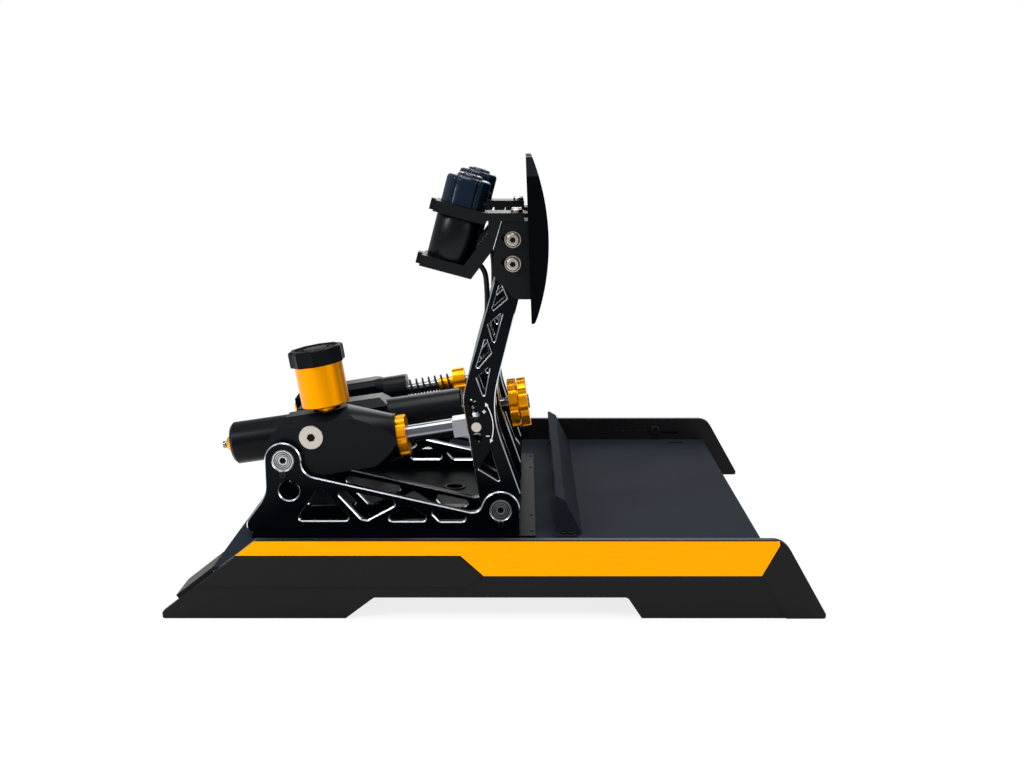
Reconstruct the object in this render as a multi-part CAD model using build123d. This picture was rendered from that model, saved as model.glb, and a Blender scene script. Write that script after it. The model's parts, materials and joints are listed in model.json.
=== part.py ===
"""Sim racing pedal set: three pedals with their actuators on a floor-standing base.

Millimetres. X runs from the nose to the driver's heel, Y from the driver's left to the right,
Z up, and the origin lies on the ground under the middle of the base.
"""
from math import asin, atan2, cos, degrees, hypot, pi, radians, sin, sqrt, tan
import os

from build123d import *

# General
overrun = 2.0                 # how far a cutting tool runs past what it cuts
seat_gap = 0.3                # clearance of pieces that move past each other
running_gap = 0.05            # radial clearance of a shaft or a rod in its bore
sleeve_gap = 0.2              # radial clearance of a loose spacer or screw

# Base: side panels
base_length = 487.0
base_width = 410.0
panel_height = 60.0
panel_thickness = 5.0
panel_face_inset = 2.0        # the panel's outer face lies this far inside the base width
nose_run = 70.5
nose_tip_height = 5.0
tail_run = 32.0
tail_tip_height = 3.6
tip_radius = 1.8
tail_corner_radius = 15.0
foot_height = 16.0
nose_foot_length = 134.5
nose_ramp = 21.0
tail_foot_length = 135.0
tail_ramp = 10.5
foot_corner_radius = 4.0
panel_slot_inset = 70.5       # of the slot's middle from the tail
panel_slot_height = 45.0
panel_slot_length = 16.0
panel_slot_radius = 1.6
panel_slot_depth = 3.0

# Base: strip, badge plate and tail trim on each panel
strip_thickness = 1.0
strip_top_margin = 0.8
strip_split_height = 48.4     # lower edge of the strip beside the badge plate
strip_low_height = 32.9       # lower edge of the strip behind the badge plate
strip_step_x = -7.4
strip_step_run = 16.9
strip_tail_inset = 47.2       # of the strip's lower end from the tail
strip_tail_run = 14.5
strip_tail_cut = 3.0
badge_thickness = 2.0
badge_low_height = 24.5
badge_toe_run = 12.2
badge_chamfer = 0.8
seam_width = 0.9
seam_foot_inset = 29.0        # of the seam's foot from the tail

# Base: decks and the frame under them
deck_top = 38.0
deck_thickness = 3.0
deck_nose_inset = 37.5        # from the base's own ends
deck_tail_inset = 35.9
base_plate_thickness = 2.0
base_plate_nose_x = -192.0
base_plate_tail_x = 31.0
base_plate_width = 262.0
nose_tab_width = 35.0
nose_tab_sheet = 3.0
nose_tab_low_height = 16.0
rail_leg = 18.0
rail_sheet = 3.0
rail_nose_inset = 55.5
rail_tail_inset = 48.5
cross_bar_width = 30.0
cross_bar_height = 12.0
cross_bar_places = (-150.0, 8.0, 150.0)
cable_hole_radius = 8.5
cable_hole_x = -40.0
cable_hole_y = 8.0
rig_slot_inset_x = 65.5       # from the base's own ends
rig_slot_inset_y = 14.0       # from the panels' inner faces
rig_slot_length = 17.0
rig_slot_radius = 3.2
base_plate_hole_radius = 1.6
base_plate_hole_inset = 3.0

# Base: screws
panel_screw_shares = (-0.4928, 0.0821, 0.6489)    # of half the base's length
panel_screw_height = 48.0
m5_radius = 2.5
m5_head_radius = 4.6
m5_head_height = 2.6
m5_socket = 3.0
m4_radius = 2.0
m4_head_radius = 3.6
m4_head_height = 2.2
m4_socket = 2.5
m6_radius = 3.0
m6_head_radius = 5.0
m6_head_height = 3.2
m6_socket = 4.0
m3_radius = 1.5
m3_head_radius = 2.8
m3_head_height = 1.8
m3_socket = 2.0
socket_share = 0.6            # how deep a socket goes into its head
truss_screw_length = 10.5     # above the deck

# Heel stop
heel_stop_near_y = -121.0
heel_stop_far_inset = 6.0     # from the far panel's inner face
heel_stop_sheet = 2.0
heel_stop_back_x = 47.0
heel_stop_top = 69.5
heel_stop_crest_x = 54.4
heel_stop_crest_z = 65.4
heel_stop_toe_x = 68.0
heel_stop_fold_radius = 2.6
heel_stop_foot_length = 10.0
heel_stop_screw_x = (53.0, 59.2)

# Truss plates
pedal_pitch = 98.0
truss_gap = 36.0
truss_thickness = 7.0
truss_chamfer = 0.9
front_pivot_x = 3.5
front_pivot_z = 58.0
rear_pivot_x = -167.0
rear_pivot_z = 98.3
rear_boss_radius = 14.5
front_boss_radius = 15.5
truss_foot_x = -197.5
truss_foot_rise = 9.0
truss_waist_rise = 30.0
truss_foot_radius = 5.6
truss_toe_radius = 8.0
truss_waist_radius = 24.0
truss_rear_hollow_radius = 12.0
truss_front_hollow_radius = 8.0
truss_chord_rear_z = 87.2
truss_chord_front_z = 51.0   # under the front pivot, where the top edge would end
truss_cut_radius = 2.6
# Corners of the four windows, as shares of the distance between the pivots and of the
# height of the rear pivot over the base plate
truss_window_shares = (
    ((0.164, 0.640), (0.053, 0.166), (0.314, 0.166)),
    ((0.246, 0.545), (0.268, 0.590), (0.504, 0.451), (0.516, 0.385), (0.382, 0.172), (0.356, 0.184)),
    ((0.577, 0.370), (0.436, 0.157), (0.688, 0.157)),
    ((0.674, 0.290), (0.694, 0.322), (0.880, 0.205), (0.886, 0.152), (0.717, 0.152)),
)

# Pivot shafts, bearings and spacers
shaft_radius = 4.0
shaft_end_inset = 0.5
shaft_socket = 5.0
shaft_socket_depth = 4.0
bearing_outer_radius = 8.0
bearing_thickness = 5.0
bearing_groove_radius = 6.2
bearing_groove_width = 0.7
bearing_groove_depth = 0.5
bearing_face_inset = 0.4
bearing_screw_drop = 11.2
bearing_screw_length = 4.0
spare_seat_offset_x = 4.2
spare_seat_drop = 24.0
spacer_radius = 6.0

# Pedal arms
arm_length = 222.0            # from the front pivot to the top of the arm
arm_width = 30.0
arm_plate_thickness = 6.0
arm_chamfer = 0.7
arm_foot_radius = 16.2
arm_left_bend_radius = 40.0
arm_right_bend_radius = 84.0
arm_shoulder_radius = 10.0
arm_head_radius = 4.0
arm_window_radius = 0.8
arm_foot_shares = (-0.9935, 0.966)        # X of the foot's two sides, as shares of its radius
arm_foot_rise_share = 0.05
arm_left_shares = ((-0.136, 0.399), (0.032, 1.0))
arm_right_shares = ((0.081, 1.0), (0.081, 0.815), (-0.036, 0.354))
arm_window_shares = (
    ((-0.036, 0.212), (-0.080, 0.140), (-0.003, 0.092)),
    ((-0.036, 0.513), (-0.084, 0.469), (-0.058, 0.398)),
    ((-0.051, 0.616), (-0.032, 0.559), (-0.088, 0.496)),
    ((0.010, 0.704), (-0.043, 0.659), (-0.022, 0.590)),
    ((0.000, 0.806), (0.024, 0.751), (-0.030, 0.705)),
)
arm_hole_shares = ((-0.1005, 0.3775), (-0.0919, 0.3356), (-0.0860, 0.2928), (-0.0824, 0.2550))
arm_hole_radius = 3.9
hub_radius = 9.0
hub_bush_radius = 6.0
tie_radius = 3.0
tie_share = (-0.0212, 0.473)
head_block_low_share = 0.84
head_block_inset = 1.0
head_block_top_inset = 4.0
link_pin_head_inset = 0.2
pin_play = 0.9                # clearance of the link pin, where the linkage is opened

# Pedal heads: bracket, face plate and their screws
bracket_sheet = 4.0
bracket_web = 3.2
bracket_flange_reach = 20.0
bracket_drop = 55.3           # of its low edge under the arm's top
bracket_rise = 4.5            # of its top over the arm's top
# Corners of a bracket cheek, as shares of its height, forwards from its upper web corner
bracket_cheek_shares = ((0.321, 1.0), (0.436, 0.655), (0.451, 0.33), (0.411, 0.262), (0.168, 0.0))
bracket_corner_radius = 2.5
bracket_screw_inset = 8.082   # from the arm's front edge at its top
bracket_screw_shares = (0.765, 0.4565)
bracket_slot_length = 12.0
bracket_slot_tilt = 14.5
washer_radius = 6.25
washer_thickness = 1.2
face_height = 125.0
face_width = 72.0
face_back_x = 27.7            # of the plate's back at its low edge
face_drop = 72.7              # of its low edge under the arm's top
face_tilt = 2.06
face_depth = 15.1
face_top_depth = 5.0
face_low_depth = 2.6
face_crown_share = 0.534
face_top_corner = 14.0
face_low_corner = 5.0
face_groove_count = 7
face_groove_width = 3.0
face_groove_depth = 1.0
face_groove_share = 0.74
face_screw_spacing_y = 24.0
face_screw_spacing_z = 40.0
face_chamfer = 0.8
face_screw_seat = 5.0

# Pedal ranges, in degrees at the arm
clutch_travel = 16.0
brake_travel = 6.0
throttle_travel = 16.0

# Clutch actuator: a hydraulic cylinder with its reservoir
cylinder_rear = 13.8
cylinder_length = 90.2
cylinder_top = 31.0
cylinder_floor = 18.0
cylinder_half_width = 17.7
cylinder_nose_radius = 18.0
cylinder_cone_start = 47.0
cylinder_cone_end = 88.0
cylinder_cone_radius = 34.1
cylinder_rear_step = 13.0
cylinder_rear_slope_run = 19.5
cylinder_toe_run = 11.0
cylinder_toe_rise = 12.0
cylinder_edge_chamfer = 7.9
chamber_radius = 12.0
chamber_start = 22.0
gland_length = 7.1
gland_radius = 16.4
gland_lobes = 8
gland_notch_radius = 3.0
gland_spigot = 8.0
rod_radius = 7.0
piston_length = 8.0
plug_radius = 9.5
plug_u = 24.2
plug_v = 13.5
plug_height = 1.2
plug_shank_radius = 6.0
plug_shank = 5.0
plug_socket = 6.0
reservoir_u = 37.6
reservoir_radius = 18.9
reservoir_seat = 24.0
reservoir_neck_radius = 7.3
reservoir_collar_radius = 8.6
reservoir_collar = 3.2
reservoir_low = 34.3
reservoir_top = 68.0
reservoir_wall = 2.0
reservoir_floor = 3.0
reservoir_edge = 1.2
reservoir_spotface_radius = 11.0
cap_radius = 22.0
cap_height = 13.0
cap_sides = 12
cap_rim = 5.0
cap_recess = 1.6
cap_boss_radius = 9.0
cap_chamfer = 1.2

# Brake actuator: a tube of elastomers on a through rod
brake_offset = 6.0            # how far the tube's axis passes below the rear pivot
brake_rear = 68.0
brake_rear_radius = 18.5
brake_rear_edge = 2.5
brake_block_rear = 12.0
brake_block_front = 73.0
brake_block_top = 24.0
brake_block_floor = 19.0
brake_block_half_width = 17.5
brake_block_chamfer = 7.0
brake_tube_radius = 20.0
brake_tube_front = 137.0
brake_tube_wall = 3.5
brake_neck = 6.0
brake_nut_radius = 10.5
brake_nut_length = 5.5
brake_tip_radius = 3.0
brake_tip_length = 4.4
brake_rod_radius = 6.0
elastomer_radius = 15.0
elastomer_length = 14.0
elastomer_gap = 2.0
elastomer_count = 3
brake_piston_radius = 16.0
brake_piston_length = 6.0
brake_knob_radius = 21.4
brake_knob_ring = 7.5
brake_knob_gap = 1.0
brake_knob_start = 177.5
brake_knob_lobes = 8
brake_knob_notch_radius = 4.6
brake_knob_hub_radius = 15.0
brake_rod_tail = 1.2

# Throttle actuator: a guided rod with a coil spring
throttle_rear = 26.0
throttle_front = 80.0
throttle_top = 16.0
throttle_half_width = 15.0
throttle_floor = 15.0
throttle_cone_start = 44.0
throttle_nose_radius = 15.2
throttle_cone_radius = 21.5
throttle_cone_length = 14.0
throttle_chamfer = 5.0
throttle_nut_radius = 8.5
throttle_nut_length = 3.5
throttle_rod_radius = 5.0
throttle_bore_start = 30.0
adjuster_start = 109.5
adjuster_barrel_radius = 6.2
adjuster_nut_start = 124.0
adjuster_nut_length = 11.0
adjuster_nut_radius = 13.2
adjuster_lobes = 6
adjuster_notch_radius = 3.4
spring_wire = 2.0
spring_radius = 8.4           # at the wire's middle
spring_turns = 7
spring_end_gap = 0.15

# Link blocks at the rods' ends
block_width = 17.4
block_height = 14.0
block_rear = 19.0
block_front = 6.5

# Haptic motors and their holders
motor_tilt = 15.0
motor_foot_x = -36.0
motor_foot_drop = 25.3        # under the arm's top
motor_radius = 17.75
motor_foot = 9.5
motor_cap_radius = 18.4
motor_cap_length = 22.0
motor_cap_sides = 10
motor_crown_radius = 11.0
motor_crown_height = 3.0
motor_cap_chamfer = 2.2
holder_half_width = 20.5
holder_band = 8.6
holder_band_high = 33.2
holder_reach = 20.5
holder_ear_reach = 24.5
holder_ear_half_width = 6.0
holder_strut = 8.0
holder_strut_top = (-5.2, 4.75)       # X of the strut's two sides under the bar
holder_strut_knees = ((0.0, -8.8), (-6.65, -22.0))   # each from its side's top, as (X, Z)
holder_bar_sheet = 6.0
holder_bar_x = 22.0
holder_screw_x = 16.5
holder_screw_y = 11.0
holder_strap_width = 11.0

# Motor cables, in the arm's plane: first from the motor's foot as (X, Z), then as shares of the arm
cable_radius = 2.1
cable_motor_run = ((17.76, -2.69), (26.94, -5.15), (29.5, -25.7))
cable_arm_shares = ((-0.0495, 0.6216), (-0.0230, 0.4887))
cable_bend_share = 0.45


# Derived places

half_length = base_length / 2
panel_outer = base_width / 2 - panel_face_inset
panel_inner = panel_outer - panel_thickness
base_plate_top = deck_top + base_plate_thickness
deck_low = deck_top - deck_thickness
deck_nose_x = -half_length + deck_nose_inset
deck_tail_x = half_length - deck_tail_inset
rail_nose_x = -half_length + rail_nose_inset
rail_tail_x = half_length - rail_tail_inset
strip_tail_x = half_length - strip_tail_inset
seam_foot_x = half_length - seam_foot_inset
rig_slot_x = half_length - rig_slot_inset_x
rig_slot_y = panel_inner - rig_slot_inset_y
panel_screw_x = [share * half_length for share in panel_screw_shares]
heel_stop_far_y = panel_inner - heel_stop_far_inset
arm_top_z = front_pivot_z + arm_length
bracket_low_z = arm_top_z - bracket_drop
bracket_top_z = arm_top_z + bracket_rise
face_low_z = arm_top_z - face_drop
motor_foot_z = arm_top_z - motor_foot_drop
arm_half = arm_width / 2
arm_inner = arm_half - arm_plate_thickness
truss_height = rear_pivot_z - base_plate_top
pivot_span = front_pivot_x - rear_pivot_x
pedal_places = {"clutch": -pedal_pitch, "brake": 0.0, "throttle": pedal_pitch}
truss_offset = truss_gap / 2
truss_near_faces = (
    -pedal_pitch - truss_offset - truss_thickness,
    -pedal_pitch + truss_offset,
    pedal_pitch - truss_offset - truss_thickness,
    pedal_pitch + truss_offset,
)
truss_outer = pedal_pitch + truss_offset + truss_thickness


def arm_point(share):
    """A point of the arm, from its shares of the arm's length, as (X, Z)."""
    return (front_pivot_x + share[0] * arm_length, front_pivot_z + share[1] * arm_length)


cable_route = [(motor_foot_x + x, motor_foot_z + z) for x, z in cable_motor_run]
cable_route += [arm_point(share) for share in cable_arm_shares]
bracket_screw_x = arm_point(arm_right_shares[0])[0] - bracket_screw_inset
clutch_pin = arm_point(arm_hole_shares[2])
brake_pin = arm_point(arm_hole_shares[3])
throttle_pin = arm_point(arm_hole_shares[2])


def strut(pin, offset):
    """Tilt in degrees and length of an actuator whose axis passes offset below the rear pivot."""
    run, rise = pin[0] - rear_pivot_x, pin[1] - rear_pivot_z
    reach = hypot(run, rise)
    tilt = degrees(atan2(rise, run) + asin(offset / reach))
    return tilt, sqrt(reach ** 2 - offset ** 2)


clutch_tilt, clutch_reach = strut(clutch_pin, 0)
brake_tilt, brake_reach = strut(brake_pin, brake_offset)
throttle_tilt, throttle_reach = strut(throttle_pin, 0)


def actuator_frame(pedal_y, tilt, offset):
    """Places a piece whose X axis is the actuator's axis and whose origin is below the pivot."""
    turn = Rot(0, -tilt, 0)
    return Pos(rear_pivot_x, pedal_y, rear_pivot_z) * turn * Pos(0, 0, -offset)


clutch_frame = actuator_frame(pedal_places["clutch"], clutch_tilt, 0)
brake_frame = actuator_frame(pedal_places["brake"], brake_tilt, brake_offset)
throttle_frame = actuator_frame(pedal_places["throttle"], throttle_tilt, 0)


# Helpers

def closed(points):
    """A flat outline, whichever way round its points run."""
    pairs = zip(points, points[1:] + points[:1])
    area = sum(a[0] * b[1] - b[0] * a[1] for a, b in pairs)
    return Polygon(*(points if area > 0 else points[::-1]), align=None)


def pushed(face, amount):
    """Extrudes an outline upwards from its own plane."""
    return extrude(face, amount, dir=(0, 0, 1))


def outline(points, radii=None):
    """A closed flat outline, with its named corners rounded."""
    face = closed(points)
    for point, radius in radii or []:
        corner = face.vertices().sort_by_distance(Vector(point[0], point[1], 0))[0]
        face = fillet(corner, radius)
    return face


def rounded(points, radius):
    """A closed flat outline with all its corners rounded alike."""
    core = offset(closed(points), -radius, kind=Kind.INTERSECTION)
    return offset(core, radius, kind=Kind.ARC)


def upright(face, near_y, thickness):
    """Stands an outline drawn as (X, Z) up, from near_y towards +Y."""
    return Pos(0, near_y + thickness, 0) * Rot(90, 0, 0) * pushed(face, thickness)


def folded(points, sheet):
    """A folded sheet's outline: the outer line, and that line moved inwards to its right."""
    normals = []
    for (x0, z0), (x1, z1) in zip(points, points[1:]):
        reach = hypot(x1 - x0, z1 - z0)
        normals.append(((z1 - z0) / reach, (x0 - x1) / reach))
    inner = []
    for index, (x, z) in enumerate(points):
        before = normals[max(index - 1, 0)]
        after = normals[min(index, len(normals) - 1)]
        share = sheet / (1 + before[0] * after[0] + before[1] * after[1])
        inner.append((x + share * (before[0] + after[0]), z + share * (before[1] + after[1])))
    return closed(points + inner[::-1])


def slab(x0, x1, y0, y1, z0, z1):
    """A box between two corners."""
    return Pos(x0, y0, z0) * Box(x1 - x0, y1 - y0, z1 - z0, align=(Align.MIN, Align.MIN, Align.MIN))


def along_y(radius, y0, y1, x, z):
    """A round bar along Y."""
    bar = Cylinder(radius, y1 - y0, align=(Align.CENTER, Align.CENTER, Align.MIN))
    return Pos(x, y0, z) * Rot(-90, 0, 0) * bar


def along_z(radius, z0, z1, x, y):
    """A round bar along Z."""
    return Pos(x, y, z0) * Cylinder(radius, z1 - z0, align=(Align.CENTER, Align.CENTER, Align.MIN))


def along_x(radius, x0, x1, y=0, z=0):
    """A round bar along X."""
    bar = Cylinder(radius, x1 - x0, align=(Align.CENTER, Align.CENTER, Align.MIN))
    return Pos(x0, y, z) * Rot(0, 90, 0) * bar


def prism_along_x(face, x0, x1):
    """An outline drawn as (Y, Z), pushed along X from x0 to x1."""
    return Plane.YZ.offset(x0) * pushed(face, x1 - x0)


def lathe(profile):
    """A turned piece about X, from its half profile as (X, radius)."""
    return revolve(closed(profile), Axis.X)


def lobed(radius, count, notch_radius):
    """A round outline with scallops spaced round its rim."""
    face = Circle(radius)
    for index in range(count):
        turn = Rot(0, 0, index * 360 / count)
        face -= turn * Pos(radius + notch_radius / 3, 0, 0) * Circle(notch_radius)
    return face


def cap_screw(radius, head_radius, head_height, socket, length):
    """A screw along +Z: its head stands on the origin's plane and its shank hangs below."""
    head = Cylinder(head_radius, head_height, align=(Align.CENTER, Align.CENTER, Align.MIN))
    top_edge = head.edges().sort_by(Axis.Z)[-1]
    head = fillet(top_edge, head_height / 3)
    shank = Pos(0, 0, -length) * Cylinder(radius, length, align=(Align.CENTER, Align.CENTER, Align.MIN))
    depth = head_height * socket_share
    key = pushed(RegularPolygon(socket / 2, 6, major_radius=False), depth + overrun)
    return head + shank - Pos(0, 0, head_height - depth) * key


def edge_chamfer(solid, faces, size, spared_radius=None):
    """Breaks all edges of the given faces, but for round holes of the spared radius."""
    edges = ShapeList([edge for face in faces for edge in face.edges()])
    if spared_radius:
        edges = ShapeList([edge for edge in edges if edge.geom_type != GeomType.CIRCLE
                           or abs(edge.radius - spared_radius) > running_gap])
    return chamfer(edges, size)


def bevel_top(body, half_width, top, size, rear, front):
    """Cuts the two long top edges of a body that lies along X."""
    for side in (-1, 1):
        edge = side * half_width
        bevel = closed([(edge, top), (edge - side * size, top), (edge, top - size)])
        body -= prism_along_x(bevel, rear - overrun, front + overrun)
    return body


nodes = {}


def keep(name, *pieces):
    """Stores the separate solids of one node."""
    nodes[name] = [solid for piece in pieces for solid in piece.solids()]


# Base: side panels and what they carry

def slope_x(height):
    """X of the nose slope at a height."""
    return -half_length + nose_run * (height - nose_tip_height) / (panel_height - nose_tip_height)


def panel_outline():
    """The side panel's outline, as (X, Z)."""
    nose_foot_end = -half_length + nose_foot_length
    tail_foot_start = half_length - tail_foot_length
    points = [
        (-half_length, 0),
        (-half_length, nose_tip_height),
        (-half_length + nose_run, panel_height),
        (half_length - tail_run, panel_height),
        (half_length, tail_tip_height),
        (half_length, 0),
        (tail_foot_start, 0),
        (tail_foot_start - tail_ramp, foot_height),
        (nose_foot_end + nose_ramp, foot_height),
        (nose_foot_end, 0),
    ]
    radii = [(points[index], tip_radius) for index in (0, 1, 4, 5)]
    radii += [(points[3], tail_corner_radius)]
    radii += [(points[index], foot_corner_radius) for index in (7, 8)]
    return outline(points, radii)


def tail_seam():
    """The three corners of the seam before the tail trim, from the top down."""
    return (
        (strip_tail_x + strip_tail_run, panel_height),
        (strip_tail_x, strip_low_height),
        (seam_foot_x, 0),
    )


def seam_x(height):
    """X of the upper seam at a height."""
    rise = (height - strip_low_height) / (panel_height - strip_low_height)
    return strip_tail_x + strip_tail_run * rise


def strip_outline():
    """The long strip, as (X, Z): shallow over the badge plate, deep behind it."""
    top = panel_height - strip_top_margin
    return outline([
        (slope_x(strip_split_height), strip_split_height),
        (slope_x(top), top),
        (seam_x(top) - strip_tail_cut, top),
        (seam_x(top - strip_tail_cut) - seam_width, top - strip_tail_cut),
        (strip_tail_x - seam_width, strip_low_height),
        (strip_step_x, strip_low_height),
        (strip_step_x - strip_step_run, strip_split_height),
    ])


def badge_outline():
    """The raised bare plate under the strip's nose, as (X, Z)."""
    top = strip_split_height - seam_width
    return outline([
        (slope_x(badge_low_height), badge_low_height),
        (slope_x(top), top),
        (strip_step_x - strip_step_run - seam_width, top),
        (strip_step_x - seam_width, strip_low_height),
        (strip_step_x - badge_toe_run, badge_low_height),
    ])


def trim_outline():
    """The tail trim: the panel's outline behind the seam."""
    top, middle, foot = tail_seam()
    beyond = half_length + overrun
    side = closed([(top[0], top[1] + overrun), top, middle, foot, (foot[0], -overrun), (beyond, -overrun),
                   (beyond, top[1] + overrun)])
    return panel_outline() & side


def on_side(solid, side):
    """Keeps a near-side solid, or mirrors it to the far side."""
    return solid if side < 0 else mirror(solid, about=Plane.XZ)


def panel_screw_holes():
    """The screw holes through the near panel."""
    return [along_y(m5_radius, -panel_outer - overrun, -panel_inner + overrun, x, panel_screw_height)
            for x in panel_screw_x]


def build_panels():
    """Side panels, raised at the tail, with their strips and badge plates."""
    body = upright(panel_outline(), -panel_outer, panel_thickness)
    slot = Pos(half_length - panel_slot_inset, panel_slot_height)
    slot *= SlotOverall(panel_slot_length, 2 * panel_slot_radius)
    body -= upright(slot, -panel_inner - panel_slot_depth, panel_slot_depth + overrun)
    for hole in panel_screw_holes():
        body -= hole
    body += upright(trim_outline(), -panel_outer - strip_thickness, strip_thickness)
    strips = upright(strip_outline(), -panel_outer - strip_thickness, strip_thickness)
    badge = upright(badge_outline(), -panel_outer - badge_thickness, badge_thickness)
    badge = edge_chamfer(badge, [badge.faces().sort_by(Axis.Y)[0]], badge_chamfer)
    keep("side_panel_left", body)
    keep("side_panel_right", on_side(body, 1))
    keep("accent_strips", *[on_side(strips, side) for side in (-1, 1)])
    keep("badge_plates", *[on_side(badge, side) for side in (-1, 1)])


# Base: decks, nose tabs and the frame under them

def slot_cutter(x, y, length, radius, low, high):
    """A tool for a slot along X."""
    face = SlotOverall(length, 2 * radius)
    return Pos(x, y, low) * pushed(face, high - low)


def rig_slots(low, high):
    """The four slots by which the base is bolted to a rig."""
    return [slot_cutter(x, y, rig_slot_length, rig_slot_radius, low, high)
            for x in (-rig_slot_x, rig_slot_x) for y in (-rig_slot_y, rig_slot_y)]


def truss_screw_places():
    """Where screws come up through the base plate into the truss plates, as (X, Y)."""
    first = truss_foot_x + truss_foot_radius + m4_radius + truss_thickness
    last = front_pivot_x - bearing_outer_radius - bearing_thickness
    middle = (first + last) / 2
    return [(x, near + truss_thickness / 2) for near in truss_near_faces for x in (first, middle, last)]


def build_decks():
    """The pedal deck, the base plate on it and the nose tabs."""
    deck = slab(deck_nose_x, deck_tail_x, -panel_inner, panel_inner, deck_low, deck_top)
    plate = slab(base_plate_nose_x, base_plate_tail_x, -base_plate_width / 2, base_plate_width / 2,
                 deck_top, base_plate_top)
    for cutter in rig_slots(deck_low - overrun, deck_top + overrun):
        deck -= cutter
    cable_hole = along_z(cable_hole_radius, deck_low - overrun, base_plate_top + overrun,
                         cable_hole_x, cable_hole_y)
    deck -= cable_hole
    plate -= cable_hole
    for x, y in truss_screw_places():
        hole = along_z(m4_radius, deck_low - overrun, base_plate_top + overrun, x, y)
        deck -= hole
        plate -= hole
    for near in truss_near_faces:
        plate -= along_z(base_plate_hole_radius, deck_top - overrun, base_plate_top + overrun,
                         base_plate_tail_x - base_plate_hole_inset, near + truss_thickness / 2)
    for x, y in heel_stop_screw_places():
        deck -= along_z(m3_radius, deck_low - overrun, deck_top + overrun, x, y)
    keep("deck_plate", deck)
    keep("pedal_base_plate", plate)

    drop = deck_top - nose_tab_low_height
    run = drop * nose_run / (panel_height - nose_tip_height)
    tab = folded([(deck_nose_x - run, nose_tab_low_height), (deck_nose_x, deck_top)], nose_tab_sheet)
    tab -= closed([(deck_nose_x, 0), (deck_nose_x, panel_height), (0, panel_height), (0, 0)])
    near_tab = upright(tab, -panel_inner, nose_tab_width)
    keep("nose_tabs", *[on_side(near_tab, side) for side in (-1, 1)])


def build_frame():
    """Angle rails along the panels and cross bars between them, all under the deck."""
    inner = panel_inner - rail_leg
    rail = slab(rail_nose_x, rail_tail_x, -panel_inner, -panel_inner + rail_sheet, deck_low - rail_leg, deck_low)
    rail += slab(rail_nose_x, rail_tail_x, -panel_inner, -inner, deck_low - rail_sheet, deck_low)
    for cutter in rig_slots(deck_low - rail_leg, deck_low + overrun):
        rail -= cutter
    bars = []
    for x in cross_bar_places:
        bar = slab(x - cross_bar_width / 2, x + cross_bar_width / 2, -inner, inner,
                   deck_low - cross_bar_height, deck_low)
        for screw_x, screw_y in truss_screw_places():
            bar -= along_z(m4_head_radius + sleeve_gap, deck_low - cross_bar_height - overrun,
                           deck_low + overrun, screw_x, screw_y)
        bars.append(bar)
    keep("deck_frame", *[on_side(rail, side) for side in (-1, 1)], *bars)


def build_base_screws():
    """Screws of the panels and of the truss plates' feet."""
    near = cap_screw(m5_radius, m5_head_radius, m5_head_height, m5_socket, panel_thickness)
    near_heads = [Pos(x, -panel_inner, panel_screw_height) * Rot(-90, 0, 0) * near for x in panel_screw_x]
    keep("panel_screws", *[on_side(screw, side) for screw in near_heads for side in (-1, 1)])
    foot = cap_screw(m4_radius, m4_head_radius, m4_head_height, m4_socket,
                     truss_screw_length + deck_thickness)
    keep("truss_screws", *[Pos(x, y, deck_low) * Rot(180, 0, 0) * foot for x, y in truss_screw_places()])


# Heel stop

def heel_stop_screw_places():
    """Where the heel stop's feet are screwed down, as (X, Y)."""
    inset = heel_stop_foot_length / 2
    return [(x, y) for y in (heel_stop_near_y - inset, heel_stop_far_y - heel_stop_sheet - inset)
            for x in heel_stop_screw_x]


def build_heel_stop():
    """A folded sheet across the deck, with a gusset and a screwed foot at each end."""
    line = [(heel_stop_back_x, heel_stop_top), (heel_stop_crest_x, heel_stop_crest_z),
            (heel_stop_toe_x, deck_top)]
    sheet = folded(line, heel_stop_sheet)
    crest = sheet.vertices().sort_by_distance(Vector(heel_stop_crest_x, heel_stop_crest_z, 0))[0]
    sheet = fillet(crest, heel_stop_fold_radius)
    stop = upright(sheet, heel_stop_near_y, heel_stop_far_y - heel_stop_near_y)
    web = closed(line + [(heel_stop_back_x, deck_top)])
    crest = web.vertices().sort_by_distance(Vector(heel_stop_crest_x, heel_stop_crest_z, 0))[0]
    web = fillet(crest, heel_stop_fold_radius)
    foot_tail = heel_stop_toe_x - heel_stop_foot_length / 2
    for y, foot_y in ((heel_stop_near_y, heel_stop_near_y - heel_stop_foot_length),
                      (heel_stop_far_y - heel_stop_sheet,
                       heel_stop_far_y - heel_stop_sheet - heel_stop_foot_length)):
        stop += upright(web, y, heel_stop_sheet)
        stop += slab(heel_stop_back_x, foot_tail, foot_y, foot_y + heel_stop_foot_length,
                     deck_top, deck_top + heel_stop_sheet)
    stop -= slab(heel_stop_back_x, heel_stop_toe_x + overrun, heel_stop_near_y - overrun,
                 heel_stop_far_y + overrun, 0, deck_top)
    screws = []
    screw = cap_screw(m3_radius, m3_head_radius, m3_head_height, m3_socket, heel_stop_sheet + deck_thickness)
    for x, y in heel_stop_screw_places():
        stop -= along_z(m3_radius, deck_top - overrun, deck_top + heel_stop_sheet + overrun, x, y)
        screws.append(Pos(x, y, deck_top + heel_stop_sheet) * screw)
    keep("heel_stop", stop)
    return screws


# Truss plates, shafts and bearings

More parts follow.
